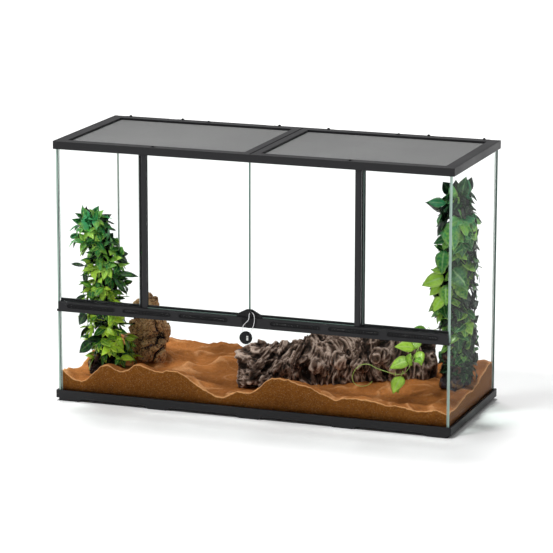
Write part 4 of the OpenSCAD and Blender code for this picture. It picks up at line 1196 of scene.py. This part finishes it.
def plantLeaves(look):
    pick = random.Random(look["seed"])
    axis = Vector((*look["axis"], 0))
    top, foot = look["rows"][0][0], look["rows"][-1][0]
    leaves, twigs = [], []
    for number, (z, across, back, reach) in enumerate(look["rows"]):
        share = (top - z) / (top - foot)
        droop = look["drop"][0] + (look["drop"][1] - look["drop"][0]) * min(1, share * 1.6)
        mean = look["tones"][0] + (look["tones"][1] - look["tones"][0]) * share
        stem = axis + Vector((across * 0.6, back * 0.4, z - 0.01))
        for k in range(look["tufts"]):
            angle = math.tau * (k + 0.5 * (number % 2) + pick.uniform(-0.18, 0.18)) / look["tufts"]
            outward = Vector((math.cos(angle), math.sin(angle), 0))
            stretch = Vector((outward.x * look["reach"][0], outward.y * look["reach"][1], 0)) * reach
            middle = axis + Vector((across, back, z + pick.uniform(-0.010, 0.010)))
            centre = middle + stretch * pick.uniform(0.42, 0.82)
            twigs.append((stem, centre, 0.0011))
            shade = mean + pick.choice((-0.34, -0.12, 0.08, 0.16, 0.30))
            lean = Vector((pick.uniform(-0.3, 0.3), pick.uniform(-0.3, 0.3), 0.5 - droop * 0.5))
            tilt = (outward + lean).normalized()
            side = tilt.cross(Vector((0, 0, 1))).normalized()
            rise = side.cross(tilt).normalized()
            for n in range(look["leavesPerTuft"]):
                around = math.tau * (n + pick.uniform(-0.22, 0.22)) / look["leavesPerTuft"]
                spoke = side * math.cos(around) + rise * math.sin(around)
                aim = (spoke * 0.8 + tilt * pick.uniform(0.30, 0.75) + Vector((0, 0, -droop))).normalized()
                face = (tilt * 0.9 + Vector((0, 0, 0.7)) - aim * 0.2).normalized()
                # tufts facing the front are painted lighter and tufts facing back darker, as light and shade
                front = 0.10 if outward.y < 0 else -0.10
                leaves.append((centre, aim, face, look["size"] * pick.uniform(0.8, 1.15), look["form"],
                               max(0, min(1, shade + front + pick.choice((-0.45, -0.2, -0.05, 0.1, 0.25))))))
        for k in range(look["tufts"] + 4):       # dark leaves close to the cane, painted darkest as the shade inside the clump
            angle = pick.uniform(0, math.tau)
            outward = Vector((math.cos(angle), math.sin(angle), pick.uniform(-0.7, 0.3))).normalized()
            leaves.append((stem + outward * 0.006, outward, Vector((0, 0, 1)),
                           look["size"] * 1.15, "heart", 0.0))
    for shift, aim, size, form, tone in look["special"]:
        point = axis + Vector(shift)
        aim = Vector(aim).normalized()
        face = (Vector((0, -0.8, 0.5)) - aim * aim.dot(Vector((0, -0.8, 0.5)))).normalized()
        leaves.append((point, aim, face, size, form, tone))
        twigs.append((axis + Vector((shift[0] * 0.2, shift[1] * 0.2, shift[2] - 0.01)), point, 0.0012))
    return leaves, twigs


def growPlant(side, look, finish):
    leaves, twigs = plantLeaves(look)
    foliage = growLeaves(side + "Foliage", leaves, finish, leafLook)
    axis = Vector((*look["axis"], 0))
    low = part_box(side + "_plant_foot")[1].z - 0.02
    levels = [low + (look["rows"][0][0] - low) * k / 8 for k in range(9)]
    cane = [axis + Vector((0.004 * math.sin(40 * z), 0.004 * math.cos(31 * z), z)) for z in levels]
    shapes = joinShapes("cane", [tubeAlong(smoothRoute(cane, 4), lambda travelled, angle: 0.0042, 8)])
    mergeInto(foliage, (foliage, shapes, twigMesh("twigs", twigs)))
    newPiece(side + "_leaves", foliage, "case", finish, [side + "_foliage"])


def plantFinish(side, look):
    material = leafMaterial(side + "Leaves", look["dark"], look["mid"], look["bright"], look["margin"],
                            look["vein"], leafLook)
    tree = material.node_tree
    shader = tree.nodes["Principled BSDF"]
    link = shader.inputs["Base Color"].links[0].from_socket
    coords = place(tree, "ShaderNodeTexCoord").outputs["Object"]
    up = place(tree, "ShaderNodeSeparateXYZ", {0: coords}).outputs["Z"]
    top = look["rows"][0][0]
    # the upper leaves take a painted teal sheen, more on the brighter leaves
    patches = remap(tree, grains(tree, 24.0, 2.0), 0.4, 0.6, 0.25, 0.85)
    share = calc(tree, "MULTIPLY", remap(tree, up, top - 0.22, top - 0.02), patches)
    tone = remap(tree, readNumber(tree, "tone"), 0.15, 0.6)
    attach(tree, shader.inputs["Base Color"],
           blendColour(tree, calc(tree, "MULTIPLY", share, tone), link, look["high"]))
    return material


for side, slot in (("left", "variegated_leaves"), ("right", "dark_leaves")):
    growPlant(side, plantLooks[side], plantFinish(side, plantLooks[side]))
print("plants grown")


# Creeper on the log
vineLook = {
    "points": [
        (0.492, 0.036, 0.236), (0.476, 0.022, 0.244), (0.460, -0.004, 0.240), (0.450, -0.034, 0.226),
        (0.442, -0.060, 0.204), (0.434, -0.080, 0.178), (0.426, -0.092, 0.154), (0.412, -0.099, 0.138),
        (0.388, -0.101, 0.134), (0.360, -0.102, 0.140), (0.334, -0.103, 0.147), (0.312, -0.104, 0.156),
        (0.290, -0.104, 0.153), (0.273, -0.104, 0.139), (0.264, -0.104, 0.119), (0.266, -0.104, 0.102),
        (0.280, -0.104, 0.092), (0.298, -0.104, 0.092), (0.312, -0.104, 0.098), (0.322, -0.104, 0.108)],
    "radius": 0.0009,
    "leaves": [  # place on the route, aim, size, tone
        (3, (-0.5, -0.5, -0.35), 0.044, 0.75), (4, (0.3, -0.6, -0.5), 0.048, 0.85),
        (4, (-0.7, -0.5, 0.2), 0.050, 0.95), (5, (-0.8, -0.4, -0.25), 0.052, 0.8),
        (6, (0.1, -0.5, 0.7), 0.040, 0.65), (7, (-0.2, -0.7, -0.5), 0.052, 1.0),
        (8, (0.3, -0.6, -0.6), 0.044, 0.7), (5, (0.6, -0.6, 0.1), 0.040, 0.6),
        (2, (-0.6, -0.5, 0.2), 0.042, 0.5)],
    "dark": (0.010, 0.055, 0.008),
    "mid": (0.075, 0.30, 0.018),
    "bright": (0.50, 0.82, 0.07),
    "margin": (0.55, 0.78, 0.12),
    "vein": (0.62, 0.80, 0.25),
}


def creeper(look):
    finish = leafMaterial("creeperLeaves", look["dark"], look["mid"], look["bright"], look["margin"],
                          look["vein"], leafLook)
    leaves, twigs = [], []
    for index, aim, size, tone in look["leaves"]:
        root = Vector(look["points"][index])
        aim = Vector(aim).normalized()
        start = root + aim * 0.012
        twigs.append((root, start, 0.0007))
        face = (Vector((0, -0.7, 0.7)) - aim * aim.dot(Vector((0, -0.7, 0.7)))).normalized()
        leaves.append((start, aim, face, size, "heart", tone))
    mesh = growLeaves("creeperLeaves", leaves, finish, leafLook)
    stem = tubeAlong(smoothRoute(look["points"], 5), lambda travelled, angle: look["radius"], 7)
    runner = joinShapes("runner", [stem])
    giveNumbers(runner, "tone", [0.62] * len(runner.vertices))
    twig = twigMesh("petioles", twigs)
    giveNumbers(twig, "tone", [0.7] * len(twig.vertices))
    mergeInto(mesh, (mesh, runner, twig))
    newPiece("creeper", mesh, "case", finish, ["vine"])


creeper(vineLook)
print("creeper laid")


# Feet of the plants
footLook = {
    "voxel": 0.0024,
    "lumpScale": 38.0,
    "lumpDepth": 0.008,
    "fineScale": 120.0,
    "fineDepth": 0.0024,
    # dark is painted shade in the folds and hollows
    "dark": (0.012, 0.007, 0.006),
    "brown": (0.105, 0.045, 0.018),
    "moss": (0.30, 0.20, 0.035),
    "plum": (0.030, 0.016, 0.028),
    "mossShare": {"left": 0.75, "right": 0.3},
}


def plantFoot(side, look):
    mesh = remeshed(side + "_plant_foot", side + "Foot", look["voxel"])

    def depthAt(spot, normal):
        lump = noise.noise(spot * look["lumpScale"])
        fold = 1 - abs(noise.noise(spot * look["lumpScale"] * 0.7 + Vector((2, 6, 3)))) * 2.6
        fine = noise.noise(spot * look["fineScale"])
        sunk = max(0, fold) ** 2
        depth = lump * look["lumpDepth"] + fine * look["fineDepth"] - sunk * look["lumpDepth"] * 0.8
        return depth, max(0.0, min(1.0, 0.45 + lump * 0.5 + fine * 0.5 - sunk * 0.4))

    weather(mesh, depthAt, "footHeight")
    material, tree, shader = newMaterial(side + "Foot", {"Roughness": 0.5, "Specular IOR Level": 0.35})
    height = readNumber(tree, "footHeight")
    patches = remap(tree, grains(tree, 26.0, 3.0), 0.46, 0.62)
    # low folds and hollows are painted dark, as shade; raised lumps are brown and mossy
    body = blendColour(tree, remap(tree, height, 0.1, 0.5), look["dark"], look["plum"])
    mossy = times(tree, patches, remap(tree, height, 0.45, 0.75), look["mossShare"][side])
    body = layered(tree, body, (remap(tree, height, 0.42, 0.72), look["brown"]), (mossy, look["moss"]))
    attach(tree, shader.inputs["Base Color"], body)
    newPiece(side + "_foot_resin", mesh, "case", material, [side + "_plant_foot"])


for side in ("left", "right"):
    plantFoot(side, footLook)
print("feet modelled")


# Floor and light
studio = {
    "floorSize": 140.0,
    "floorColour": (0.95, 0.95, 0.95),
    "world": 0.34,
    "lamps": {  # where from, soft angle in degrees, strength
        "key": ((-0.55, -0.75, 1.5), 12.0, 1.65),
        "back": ((-0.35, 0.55, 1.6), 14.0, 1.95),
    },
}


def softLamp(name, source, angle, strength):
    data = bpy.data.lights.new(name, "SUN")
    data.angle, data.energy = math.radians(angle), strength
    light = bpy.data.objects.new(name, data)
    scene.collection.objects.link(light)
    light.rotation_euler = (-Vector(source)).to_track_quat("-Z", "Y").to_euler()


def makeStudio(values):
    size = values["floorSize"] / 2
    corners = [(-size, -size, 0), (size, -size, 0), (size, size, 0), (-size, size, 0)]
    material, tree, shader = newMaterial("studioFloor", {"Roughness": 0.95, "Specular IOR Level": 0.0})
    paper = remap(tree, grains(tree, 0.4, 2.0), 0.3, 0.7)
    paler = [c * 0.995 for c in values["floorColour"]]
    attach(tree, shader.inputs["Base Color"], blendColour(tree, paper, paler, values["floorColour"]))
    floor = bpy.data.objects.new("studio_floor", meshFrom("studioFloor", corners, [(0, 1, 2, 3)], False))
    scene.collection.objects.link(floor)
    floor.data.materials.append(material)
    world = bpy.data.worlds.new("studioWorld")
    scene.world = world
    world.use_nodes = True
    world.node_tree.nodes["Background"].inputs["Color"].default_value = (1, 1, 1, 1)
    world.node_tree.nodes["Background"].inputs["Strength"].default_value = values["world"]
    for name, (source, angle, strength) in values["lamps"].items():
        softLamp(name, source, angle, strength)


makeStudio(studio)
print("studio lit")
